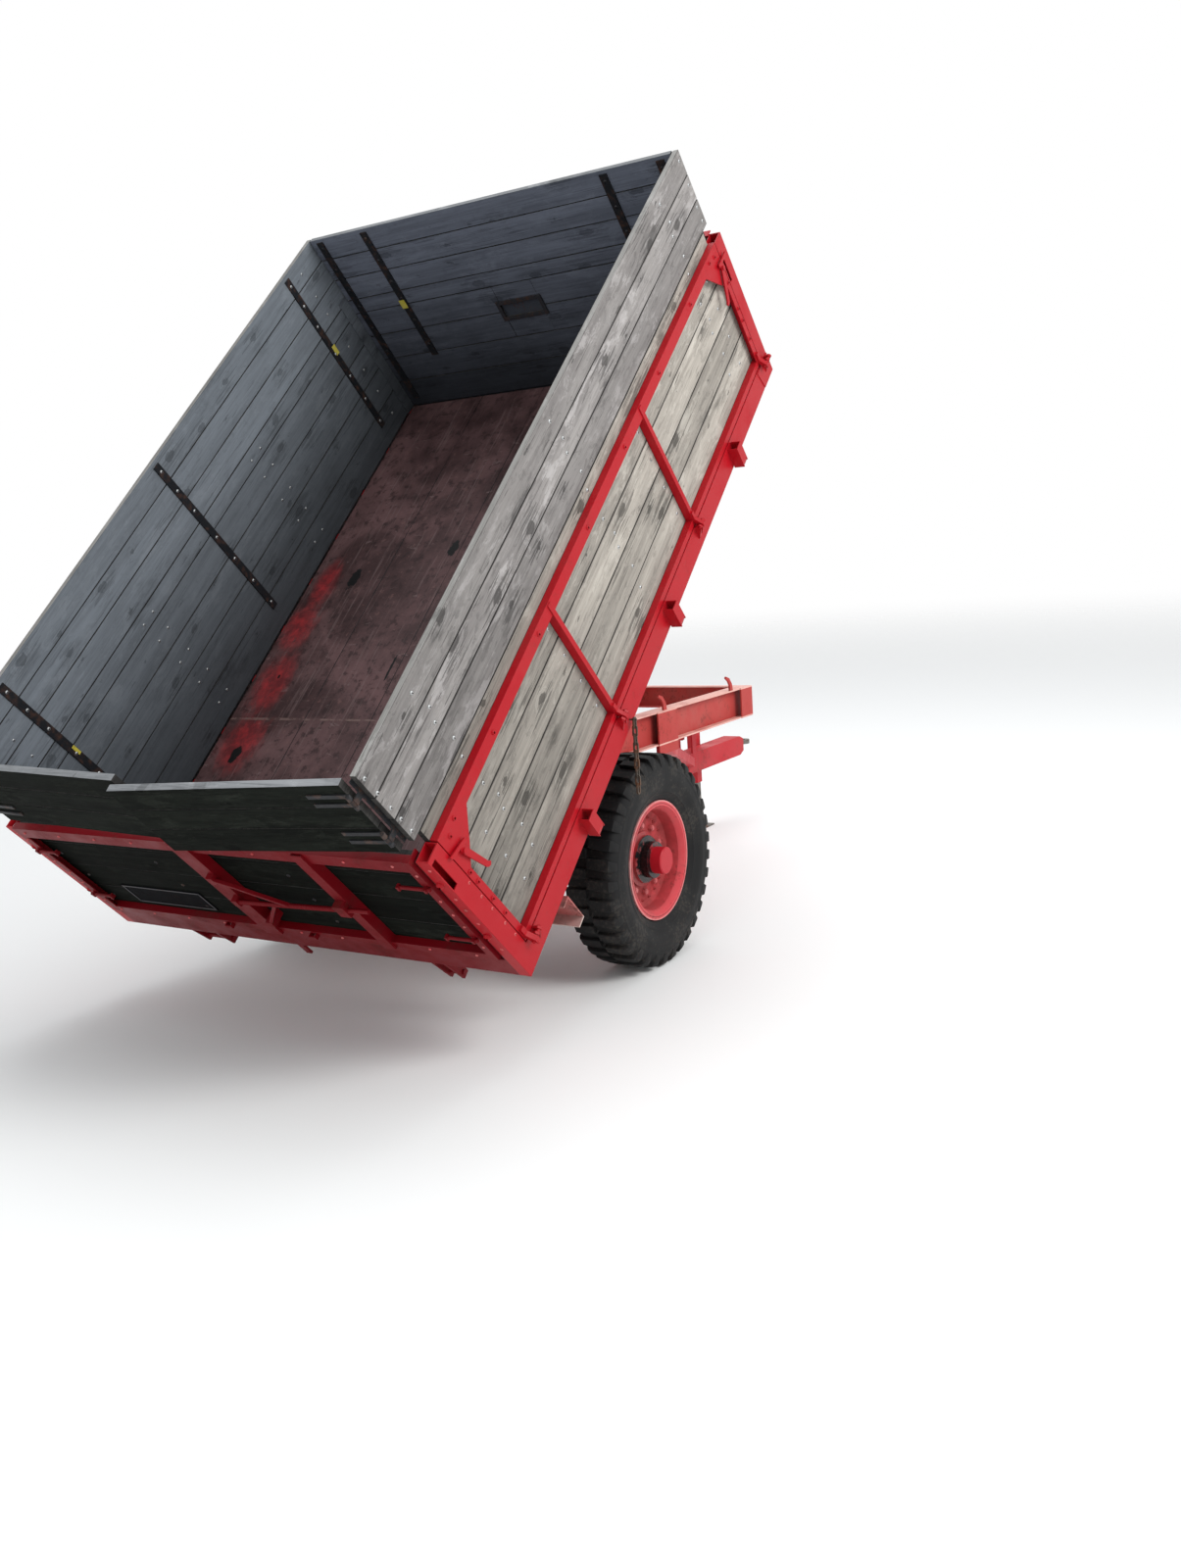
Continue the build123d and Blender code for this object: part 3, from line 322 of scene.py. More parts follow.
class CopyTree(Nodes):
    """A Geometry Nodes tree that makes copies and gives them a finish."""

    def __init__(self, name: str, inputs: Sequence[tuple[str, str]]) -> None:
        """Starts a tree that takes a geometry and gives one back.

        Args:
            name: The tree's name.
            inputs: The name and the socket type of each further input; a Finish is added to them.
        """
        super().__init__(bpy.data.node_groups.new(name, "GeometryNodeTree"))
        sockets = self.tree.interface
        sockets.new_socket("Geometry", in_out="INPUT", socket_type="NodeSocketGeometry")
        for label, kind in (*inputs, ("Finish", "NodeSocketMaterial")):
            sockets.new_socket(label, in_out="INPUT", socket_type=kind)
        sockets.new_socket("Geometry", in_out="OUTPUT", socket_type="NodeSocketGeometry")
        self.given = self.tree.nodes.new("NodeGroupInput").outputs

    def end(self, made: bpy.types.NodeSocket) -> bpy.types.NodeTree:
        """Sets the finish of the real copies and links the output.

        Args:
            made: The copies.

        Returns:
            The finished tree.
        """
        painted = self.add("GeometryNodeSetMaterial", {"Geometry": made, "Material": self.given["Finish"]})
        last = self.tree.nodes.new("NodeGroupOutput")
        self.tree.links.new(painted, last.inputs[0])
        return self.tree


def spots_tree() -> bpy.types.NodeTree:
    """A tree that copies a template to each point, by its turn and size, and bends the copies a little.

    Returns:
        The tree.
    """
    inputs = (("Template", "NodeSocketObject"), ("Bow", "NodeSocketFloat"), ("Seed", "NodeSocketFloat"))
    t = CopyTree("copies_on_spots", inputs)
    template = t.add("GeometryNodeObjectInfo", {"Object": t.given["Template"]}, "Geometry")
    turn = t.add("GeometryNodeInputNamedAttribute", {"Name": "turn"}, data_type="FLOAT_VECTOR")
    size = t.add("GeometryNodeInputNamedAttribute", {"Name": "size"}, data_type="FLOAT_VECTOR")
    inputs = {"Points": t.given["Geometry"], "Instance": template, "Rotation": turn, "Scale": size}
    real = t.add("GeometryNodeRealizeInstances", {"Geometry": t.add("GeometryNodeInstanceOnPoints", inputs)})
    tone = t.add("GeometryNodeInputNamedAttribute", {"Name": "tone"}, data_type="FLOAT")
    jump = t.add("ShaderNodeMath", {0: tone, 1: 40.0}, operation="MULTIPLY")
    seed = t.add("ShaderNodeMath", {0: t.given["Seed"], 1: jump}, operation="ADD")
    inputs = {"W": seed, "Scale": 1.7, "Detail": 1.0}
    waves = t.add("ShaderNodeTexNoise", inputs, "Color", noise_dimensions="4D")
    even = t.add("ShaderNodeVectorMath", {0: waves, 1: (0.5, 0.5, 0.5)}, operation="SUBTRACT")
    bow = t.add("ShaderNodeVectorMath", {0: even, "Scale": t.given["Bow"]}, operation="SCALE")
    return t.end(t.add("GeometryNodeSetPosition", {"Geometry": real, "Offset": bow}))


def ring_tree() -> bpy.types.NodeTree:
    """A tree that copies the object's own mesh round the Y axis and moves the ring to its centre.

    Returns:
        The tree.
    """
    inputs = (("Count", "NodeSocketInt"), ("Phase", "NodeSocketFloat"), ("Centre", "NodeSocketVector"))
    t = CopyTree("copies_in_a_ring", inputs)
    points = t.add("GeometryNodePoints", {"Count": t.given["Count"]})
    step = t.add("ShaderNodeMath", {0: 2 * math.pi, 1: t.given["Count"]}, operation="DIVIDE")
    index = t.add("GeometryNodeInputIndex", {})
    number = t.add("ShaderNodeMath", {0: index, 1: t.given["Phase"]}, operation="ADD")
    angle = t.add("ShaderNodeMath", {0: number, 1: step}, operation="MULTIPLY")
    turn = t.add("ShaderNodeCombineXYZ", {1: angle})
    inputs = {"Points": points, "Instance": t.given["Geometry"], "Rotation": turn}
    ring = t.add("GeometryNodeInstanceOnPoints", inputs)
    moved = t.add("GeometryNodeSetPosition", {"Geometry": ring, "Offset": t.given["Centre"]})
    return t.end(t.add("GeometryNodeRealizeInstances", {"Geometry": moved}))


SPOTS_TREE = spots_tree()
RING_TREE = ring_tree()


# Finishes

BED_RED = rgb(168, 12, 26)
FADED_RED = rgb(196, 54, 58)
GRIME = rgb(88, 66, 58)
RUST = rgb(82, 48, 38)
BORDER = 0.002
UNDER_BEAM_V = local_box("rear_under_beam", BED)[0].z + 0.014

# What is left of the floor's red paint, and its dark stains: each one's middle and half size as (u, y)
RED_REMAINS = (
    ((1.83, 1.04), (0.28, 0.19)),
    ((2.15, 1.03), (0.30, 0.13)),
    ((1.42, 1.00), (0.35, 0.20)),
    ((1.02, 0.97), (0.30, 0.24)),
)
DARK_STAINS = (
    ((2.19, 0.83), (0.13, 0.06)),
    ((2.37, 0.22), (0.10, 0.05)),
    ((0.94, 0.97), (0.09, 0.06)),
    ((1.53, 0.22), (0.16, 0.015)),
    ((1.47, 0.98), (0.03, 0.02)),
)


@dataclass(frozen=True)
class Paint:
    """Brushed paint on steel, with fading, dirt and rust where it is worn.

    Attributes:
        name: The material's name.
        colour: The paint as it was.
        faded: The paint where the weather has bleached it.
        fade: How much of it is faded.
        rust: How much of it has chipped down to rust.
        rough: Roughness.
        dirt: How dark the grime on it is.
        in_bed: Whether its pattern lies in the bed's frame.
        gloss: Specular level.
    """

    name: str
    colour: Colour
    faded: Colour
    fade: float = 0.3
    rust: float = 0.2
    rough: float = 0.42
    dirt: float = 0.2
    in_bed: bool = True
    gloss: float = 0.15

    def start(self) -> tuple[Shader, Input, Input, Input]:
        """Lays down the paint before any local change.

        Returns:
            The shader, and the paint's colour, roughness and height.
        """
        s = Shader(self.name, self.in_bed)
        broad = s.noise(s.place, 1.6, 5)
        cloud = s.noise(s.place, 7, 6, 0.62)
        fine = s.noise(s.place, 46, 6, 0.65)
        brush = s.noise(s.stretch((9, 9, 220)), 1, 3)
        fade = s.times(s.step(broad, 0.35, 0.68), self.fade * 2)
        colour = s.mix(s.times(fade, s.step(cloud, 0.3, 0.7)), self.colour, self.faded)
        dirt = s.times(s.step(s.times(cloud, broad), 0.22, 0.42), self.dirt)
        colour = s.mix(dirt, colour, GRIME, "MULTIPLY")
        chips = s.step(s.plus(fine, s.times(cloud, 0.7)), 0.98 - self.rust * 0.2, 1.02)
        colour = s.mix(s.times(chips, min(1.0, self.rust * 2.5)), colour, RUST)
        rough = s.step(cloud, 0.25, 0.75, self.rough - 0.08, self.rough + 0.16)
        return s, colour, rough, s.minus(s.times(brush, 0.35), chips)

    def local(self, s: Shader, colour: Input) -> Input:
        """Changes the colour in some places; plain paint changes nothing."""
        return colour

    def build(self) -> bpy.types.Material:
        """Builds the material."""
        s, colour, rough, height = self.start()
        return s.finish(self.local(s, colour), rough, 0.0, height, 0.25, 0.0008, 0.0025, self.gloss)


@dataclass(frozen=True)
class DarkInside(Paint):
    """Paint outside, and a dark colour within a length or a width and above a height of the bed's frame: dark
    old steel on the straps, and painted shade on the inner faces of the side rails and the corner posts.
    """

    length: float | None = None
    width: float | None = None
    top: float | None = None
    dark: Colour = rgb(34, 36, 39)

    def local(self, s: Shader, colour: Input) -> Input:
        """Darkens what lies inside.

        Args:
            s: The shader.
            colour: The paint's colour.

        Returns:
            The new colour.
        """
        share: Input = 0.0
        for axis, limit, near, far in ((0, self.length, 1, 0), (1, self.width, 1, 0), (2, self.top, 0, 1)):
            if limit is not None:
                away = s.math("ABSOLUTE", s.axis(s.place, axis))
                share = s.math("MAXIMUM", share, s.step(away, limit - BORDER, limit + BORDER, near, far))
        speck = s.noise(s.place, 30, 5)
        return s.mix(share, colour, s.mix(s.step(speck, 0.45, 0.75), self.dark, rgb(74, 54, 46)))


@dataclass(frozen=True)
class DirtyBelow(Paint):
    """Paint with pale, dry dirt under a height of its frame."""

    level: float = 0.0
    soft: float = 0.012
    soil: Colour = rgb(196, 182, 174)
    most: float = 0.9

    def local(self, s: Shader, colour: Input) -> Input:
        """Adds the dirt.

        Args:
            s: The shader.
            colour: The paint's colour.

        Returns:
            The new colour.
        """
        low = s.step(s.axis(s.place, 2), self.level - self.soft, self.level, 1, 0)
        patchy = s.step(s.noise(s.place, 14, 6), 0.3, 0.55, 0.4, self.most)
        return s.mix(s.times(low, patchy), colour, self.soil)


@dataclass(frozen=True)
class PaleTops(Paint):
    """Paint made pale on the tops of the beams' flanges: faded, dusty paint, and painted light on the lit
    tops.
    """

    levels: tuple[float, ...] = ()
    pale: Colour = rgb(230, 178, 166)
    flange: float = 0.009
    slack: float = 0.0005

    def local(self, s: Shader, colour: Input) -> Input:
        """Paints the flanges' tops pale, as faded paint and painted light.

        Args:
            s: The shader.
            colour: The paint's colour.

        Returns:
            The new colour.
        """
        patchy = s.step(s.noise(s.place, 6, 6), 0.28, 0.55, 0.6, 1.0)
        for level in self.levels:
            under = s.minus(level + self.slack, s.axis(s.place, 2))
            share = s.step(under, self.flange - self.slack, self.flange + self.slack, 1, 0)
            share = s.times(share, s.step(under, 0.0, 0.0002))
            # Pale tops: faded, dusty paint together with painted light.
            colour = s.mix(s.times(share, patchy), colour, self.pale)
        return colour


def from_axle(s: Shader) -> Input:
    """How far a point is from the axle's line."""
    return s.length(s.stretch((1, 0, 1), (-AXLE_X, 0, -HUB_Z)))


@dataclass(frozen=True)
class HubPaint(Paint):
    """Wheel paint with the black grease of the bearing's collar, paler studs as a painted highlight, and the
    bright cap.

    Attributes:
        cap: The cap's colour.
        cap_out: Where the cap starts, in metres out from the wheel's middle plane.
        grease: The grease's colour.
        collar_out: Where the grease starts, out from the same plane.
        collar_radius: Where the grease ends, from the axle's line.
        stud_highlight: The colour of the painted highlight on the studs.
        stud_circle: The radius of the studs' circle.
    """

    cap: Colour = rgb(176, 14, 32)
    cap_out: float = 0.085
    grease: Colour = rgb(16, 17, 18)
    collar_out: float = 0.034
    collar_radius: float = 0.124
    stud_highlight: Colour = rgb(214, 122, 122)
    stud_circle: float = 0.1675

    def build(self) -> bpy.types.Material:
        """Builds the material.

        Returns:
            The material.
        """
        s, colour, _, height = self.start()
        out = s.minus(s.math("ABSOLUTE", s.axis(s.place, 1)), WHEEL_Y)
        radius = from_axle(s)
        smear = s.sway(s.noise(s.place, 26, 5), 0.03)
        grease = s.step(s.plus(out, smear), self.collar_out - 0.004, self.collar_out + 0.004)
        grease = s.times(grease, s.step(radius, self.collar_radius + 0.006, self.collar_radius - 0.006))
        cap = s.step(s.plus(out, s.times(smear, 0.3)), self.cap_out - BORDER, self.cap_out + BORDER)
        # Painted highlight on the studs' circle.
        stud_highlight = s.step(s.away(radius, self.stud_circle), 0.018, 0.022, 0.5, 0)
        colour = s.mix(stud_highlight, colour, self.stud_highlight)
        colour = s.mix(grease, colour, self.grease)
        colour = s.mix(cap, colour, self.cap)
        rough = s.step(s.minus(grease, cap), 0, 1, 0.5, 0.25)
        return s.finish(colour, rough, 0.0, height, 0.3, 0.001, 0.002, 0.4)


@dataclass(frozen=True)
class RimPaint(Paint):
    """Wheel paint, pale on the flange's edge, with a dark line of painted shade along the groove beside it
    and dust on the disc.

    Attributes:
        pale: The colour on the flange's edge.
        flange: The radius past which it is pale.
        line: The colour of the painted shade along the groove.
        groove: The radius of that line.
        dust: The dust's colour.
        disc: The radius within which it lies.
    """

    pale: Colour = rgb(222, 170, 166)
    flange: float = 0.286
    line: Colour = rgb(56, 24, 24)
    groove: float = 0.2785
    dust: Colour = rgb(132, 52, 50)
    disc: float = 0.262

    def local(self, s: Shader, colour: Input) -> Input:
        """Adds the pale edge, the painted shade along the groove and the dust.

        Args:
            s: The shader.
            colour: The paint's colour.

        Returns:
            The new colour.
        """
        radius = from_axle(s)
        patchy = s.noise(s.place, 18, 5)
        edge = s.step(radius, self.flange, self.flange + 0.005)
        edge = s.times(edge, s.step(patchy, 0.28, 0.55, 0.25, 0.8))
        colour = s.mix(s.times(edge, 0.7), colour, self.pale)
        # Dark line of painted shade along the groove at the flange's inner edge.
        colour = s.mix(s.step(s.away(radius, self.groove), 0.0008, 0.0024, 0.8, 0), colour, self.line)
        dust = s.times(s.step(radius, self.disc, self.disc - 0.027), s.step(patchy, 0.3, 0.6, 0.35, 0.75))
        return s.mix(dust, colour, self.dust)


class WoodShader(Shader):
    """A shader for boards, whose patterns follow the fibres and differ from board to board."""

    def __init__(self, name: str, grain: Grain) -> None:
        """Starts a material.

        Args:
            name: The material's name.
            grain: Which way the fibres run.
        """
        super().__init__(name, True)
        self.grain = grain.value
        self.tone = self.attribute("tone")
        jump = self.times(self.tone, 61.0)
        self.slide = self.add("ShaderNodeCombineXYZ", {0: jump, 1: jump, 2: jump})

    def along(self, length: float, width: float) -> list[float]:
        """The scale of a pattern with this length along the fibres and this width across them, in metres."""
        return [1 / length if g == 1 else 1 / width for g in self.grain]

    def fibres(self, length: float, width: float, detail: float, rough: float, twist: float = 0) -> Input:
        """A noise drawn out along the fibres, other on each board."""
        return self.noise(self.stretch(self.along(length, width), self.slide), 1, detail, rough, twist)

    def knot(self) -> Input:
        """The places of the knots, of different sizes and a little wobbly.

        Returns:
            The distance to the nearest knot, in sizes of that knot.
        """
        cell = self.stretch(self.along(0.34, 0.17), self.slide)
        wobble = self.sway(self.noise(self.place, 30, 6, 0.7), 0.24)
        along = self.plus(self.axis(cell, self.grain.index(1.0)), wobble)
        flat = self.add("ShaderNodeCombineXYZ", {0: along, 1: self.plus(self.axis(cell, 2), wobble)})
        inputs = {"Vector": flat, "Scale": 1.0}
        found = self.add("ShaderNodeTexVoronoi", inputs, "Distance", voronoi_dimensions="2D")
        size = self.step(self.axis(found.node.outputs["Color"], 0), 0.25, 1.0, 0.12, 1.15)
        return self.math("DIVIDE", found, size)


@dataclass(frozen=True)
class OldWood:
    """Weathered boards: straight fibres, cracks, knots with splits, pale wear and dark stains, painted shade
    along the seams and towards the rear, and dirt with painted shade towards the foot.

    Attributes:
        name: The material's name.
        light: The fibres' light colour.
        dark: The fibres' dark colour.
        worn: The colour where the surface is worn or peeled.
        grain: Which way the fibres run.
        wear: How much of it is worn.
        knots: How strongly knots and cracks show.
        foot: Brightness at the walls' foot, darkened there as dirt and painted shade.
        tones: How much the boards differ.
        stain: How dark the stains are.
        gloss: Specular level.
        seam: How dark the painted shade along a board's edges is.
        rear: Brightness at the walls' rear end, darkened there as painted shade.
    """

    name: str
    light: Colour
    dark: Colour
    worn: Colour
    grain: Grain = Grain.ALONG
    wear: float = 0.3
    knots: float = 0.8
    foot: float = 0.8
    tones: float = 0.3
    stain: float = 0.5
    gloss: float = 0.25
    seam: float = 0.75
    rear: float = 1.0

    def build(self) -> bpy.types.Material:
        """Builds the material.

        Returns:
            The material.
        """
        s = WoodShader(self.name, self.grain)
        shade = tuple(c * 0.36 for c in self.dark)
        fine, middle = s.fibres(0.25, 0.006, 4, 0.6), s.fibres(1.1, 0.05, 5, 0.6, 0.3)
        mixed = s.plus(s.times(fine, 0.4), s.times(middle, 0.6))
        blotch = s.fibres(0.35, 0.11, 7, 0.7, 0.4)
        colour = s.mix(s.step(mixed, 0.34, 0.66), self.dark, self.light)
        colour = self._peeled(s, colour, blotch, shade)
        knot = s.knot()
        colour = self._knotted(s, colour, knot, shade)
        reach = s.step(knot, 0.12, 0.62, 0.50, 0.65)
        crack = s.times(s.step(s.minus(s.fibres(0.30, 0.010, 3, 0.5, 0.5), reach), 0.0, 0.03), self.knots)
        colour = s.mix(s.times(crack, 0.85), colour, shade)
        colour = self._stained(s, colour, shade)
        # Each board's tone, times the dirt and painted shade towards the foot and the painted shade towards
        # the rear.
        level = s.times(s.step(s.tone, 0, 1, 1 - self.tones / 2, 1 + self.tones / 2), self._soil_and_shade(s))
        grey = s.add("ShaderNodeCombineColor", {0: level, 1: level, 2: level})
        colour = s.mix(1.0, colour, grey, "MULTIPLY")
        height = s.minus(s.times(mixed, 0.6), s.times(crack, 0.6))
        rough = s.step(blotch, 0.3, 0.7, 0.74, 0.9)
        return s.finish(colour, rough, 0.0, height, 0.45, 0.0022, 0.0, self.gloss)

    def _peeled(self, s: WoodShader, colour: Input, blotch: Input, shade: Colour) -> Input:
        """Adds pale worn blotches, peeled flakes in them and bare dark flakes outside them.

        Args:
            s: The shader.
            colour: The fibres' colour.
            blotch: The pattern of the blotches.
            shade: The darkest colour.

        Returns:
            The new colour.
        """
        colour = s.mix(s.times(s.step(blotch, 0.55, 0.63), self.wear), colour, self.worn)
        flake = s.fibres(0.085, 0.030, 8, 0.74, 0.6)
        peeled = s.times(s.step(flake, 0.53, 0.56), s.step(blotch, 0.46, 0.58, 0, self.wear))
        colour = s.mix(peeled, colour, self.worn)
        bare = s.times(s.step(flake, 0.455, 0.43), s.step(blotch, 0.54, 0.44, 0, self.wear * 0.55))
        return s.mix(bare, colour, shade)

    def _knotted(self, s: WoodShader, colour: Input, knot: Input, shade: Colour) -> Input:
        """Adds the knots with a smudge, a pale halo and rings round each.

        Args:
            s: The shader.
            colour: The colour before.
            knot: The distance to the nearest knot.
            shade: The darkest colour.

        Returns:
            The new colour.
        """
        smudge = s.step(s.fibres(0.22, 0.045, 6, 0.7, 0.6), 0.46, 0.60)
        smudge = s.times(s.step(knot, 0.10, 0.50, 1, 0), smudge)
        colour = s.mix(s.times(smudge, 0.5 * self.knots), colour, shade)
        halo = s.times(s.step(knot, 0.10, 0.15), s.step(knot, 0.26, 0.17))
        colour = s.mix(s.times(halo, 0.45 * self.knots), colour, self.worn)
        rings = s.times(s.math("SINE", s.times(knot, 90)), s.step(knot, 0.14, 0.36, 1, 0))
        colour = s.mix(s.times(rings, 0.35 * self.knots), colour, shade)
        return s.mix(s.times(s.step(knot, 0.09, 0.12, 1, 0), self.knots), colour, shade)

    def _stained(self, s: WoodShader, colour: Input, shade: Colour) -> Input:
        """Adds stains that run on from board to board, and painted shade along each board's edges beside the
        seams.

        Args:
            s: The shader.
            colour: The colour before.
            shade: The darkest colour.

        Returns:
            The new colour.
        """
        stains = s.noise(s.stretch(s.along(0.6, 0.2)), 1, 7, 0.68, 0.3)
        colour = s.mix(s.step(stains, 0.56, 0.70, 0, self.stain), colour, shade)
        # Painted shade along each board's upper and lower edges, broken up by the stains' pattern.
        seam_shade_reach = s.plus(s.math("ABSOLUTE", s.attribute("across")), s.sway(stains, 0.25))
        return s.mix(s.step(seam_shade_reach, 0.93, 0.99, 0, self.seam), colour, shade)

    def _soil_and_shade(self, s: WoodShader) -> Input:
        """Darkens the walls towards the floor, as dirt and painted shade, and towards the rear, as painted
        shade.

        Args:
            s: The shader.

        Returns:
            The brightness.
        """
        uneven = s.sway(s.noise(s.place, 2.2, 4), 0.35)
        height = s.step(s.plus(s.axis(s.place, 2), uneven), 0.1, 1.2, self.foot, 1.06)
        return s.times(height, s.step(s.plus(s.axis(s.place, 0), uneven), -0.2, 2.4, self.rear, 1.0))


@dataclass(frozen=True)
class FloorSteel:
    """The rusted steel floor with what is left of its red paint, dark stains, seams and scrapes."""

    name: str = "floor_steel"
    seams_y: tuple[float, ...] = (0.62, 0.17, -0.29, -0.74)
    weld_u: float = 1.18

    def build(self) -> bpy.types.Material:
        """Builds the material.

        Returns:
            The material.
        """
        s = Shader(self.name, True)
        cloud = s.noise(s.place, 2.2, 7, 0.62, 0.4)
        spots = s.noise(s.place, 15, 8, 0.74)
        colour = self._red(s, self._rust(s, cloud, spots), spots)
        colour = self._stained(s, colour)
        seams = self._seams(s)
        broken = s.step(s.noise(s.stretch((3, 1, 1)), 1, 4), 0.35, 0.5, 0.35, 0.9)
        colour = s.mix(s.times(seams, broken), colour, rgb(18, 14, 15))
        weld = s.plus(s.away(s.axis(s.place, 0), self.weld_u), s.sway(cloud, 0.02))
        bead = s.times(s.step(weld, 0.003, 0.008, 0.6, 0), s.step(spots, 0.40, 0.55))
        colour = s.mix(bead, colour, rgb(146, 120, 112))
        height = s.minus(s.times(spots, 0.5), seams)
        return s.finish(colour, s.step(cloud, 0.3, 0.7, 0.5, 0.75), 0.1, height, 0.4, 0.002, 0.0, 0.35)

    @staticmethod
    def _rust(s: Shader, cloud: Input, spots: Input) -> Input:
        """The rusted steel with its spots, scrapes and scuffs.

        Args:
            s: The shader.
            cloud: A broad pattern.
            spots: A fine pattern.

        Returns:
            The colour.
        """
        scrape = s.noise(s.stretch((2.5, 60, 60)), 1, 4, 0.6)
        scuff = s.noise(s.stretch((26, 9, 9)), 1, 7, 0.72, 0.8)
        colour = s.mix(s.step(cloud, 0.34, 0.66), rgb(70, 49, 49), rgb(116, 86, 86))
        colour = s.mix(s.step(spots, 0.50, 0.62, 0, 0.75), colour, rgb(50, 34, 34))
        colour = s.mix(s.step(spots, 0.42, 0.34, 0, 0.5), colour, rgb(128, 94, 90))
        colour = s.mix(s.step(scrape, 0.57, 0.68, 0, 0.45), colour, rgb(132, 110, 108))
        return s.mix(s.step(scuff, 0.60, 0.68, 0, 0.5), colour, rgb(140, 118, 116))

    @staticmethod
    def _red(s: Shader, colour: Input, spots: Input) -> Input:
        """Adds what is left of the red paint, in flakes.

        Args:
            s: The shader.
            colour: The colour before.
            spots: A fine pattern.

        Returns:
            The new colour.
        """
        left: Input = 0.0
        for middle, half in RED_REMAINS:
            left = s.math("MAXIMUM", left, s.spot((*middle, FLOOR_V), (*half, 9), 0.1))
        ragged = s.plus(s.noise(s.stretch((7, 16, 16)), 1, 7, 0.72), s.times(left, 0.35))
        red = s.mix(s.step(spots, 0.35, 0.6), rgb(176, 48, 52), rgb(120, 40, 44))
        return s.mix(s.times(s.times(left, s.step(ragged, 0.48, 0.74)), 0.9), colour, red)

    @staticmethod
    def _stained(s: Shader, colour: Input) -> Input:
        """Adds the dark stains.

        Args:
            s: The shader.
            colour: The colour before.

        Returns:
            The new colour.
        """
        torn = s.sway(s.noise(s.place, 22, 5, 0.7), 1.6)
        for middle, half in DARK_STAINS:
            blob = s.step(s.plus(s.spot((*middle, FLOOR_V), (*half, 9), 0.0), torn), 0.35, 0.5)
            colour = s.mix(blob, colour, rgb(12, 11, 12))
        return colour

    def _seams(self, s: Shader) -> Input:
        """The seams between the floor's sheets.

        Args:
            s: The shader.

        Returns:
            1 on a seam and 0 away from it.
        """
        line: Input = 0.0
        for y in self.seams_y:
            line = s.math("MAXIMUM", line, s.step(s.away(s.axis(s.place, 1), y), 0.0015, 0.0045, 1, 0))
        return line


@dataclass(frozen=True)
class Rubber:
    """Old tyre rubber with a little dry mud in patches."""

    name: str = "rubber"

    def build(self) -> bpy.types.Material:
        """Builds the material.

        Returns:
            The material.
        """
        s = Shader(self.name)
        cloud = s.noise(s.place, 5, 6, 0.6)
        fine = s.noise(s.place, 60, 5, 0.6)
        colour = s.mix(s.step(cloud, 0.4, 0.68), rgb(16, 16, 17), rgb(30, 29, 29))
        colour = s.mix(s.step(s.times(cloud, fine), 0.27, 0.36, 0, 0.3), colour, rgb(74, 68, 60))
        return s.finish(colour, 0.68, 0.0, fine, 0.35, 0.0012, 0.0, 0.25)


@dataclass(frozen=True)
class Metal:
    """Bare, oiled or blackened steel with rusty spots."""

    name: str
    colour: Colour
    spots: Colour
    rough: float
    metal: float
    rust: float

    def build(self) -> bpy.types.Material:
        """Builds the material.

        Returns:
            The material.
        """
        s = Shader(self.name)
        cloud = s.noise(s.place, 12, 6, 0.62)
        fine = s.noise(s.place, 90, 4, 0.6)
        rusty = s.step(cloud, 0.66 - self.rust * 0.3, 0.72 - self.rust * 0.2)
        colour = s.mix(rusty, self.colour, self.spots)
        rough = s.step(cloud, 0.3, 0.7, self.rough, self.rough + 0.2)
        shine = s.times(s.step(rusty, 0, 1, 1, 0.3), self.metal)
        return s.finish(colour, rough, shine, fine, 0.15, 0.0006, 0.0015)


@dataclass(frozen=True)
class FloorFinish:
    """A pale even stage finish that fades out between two distances from the trailer."""

    name: str
    colour: Colour
    rough: float = 0.9
    near: float = 7.0
    far: float = 34.0

    def build(self) -> bpy.types.Material:
        """Builds the material.

        Returns:
            The material.
        """
        s = Shader(self.name)
        s.tree.links.new(s.step(s.length(s.place), self.near, self.far, 1, 0), s.bsdf.inputs["Alpha"])
        return s.finish(self.colour, self.rough)


FINISHES: dict[str, bpy.types.Material] = {}


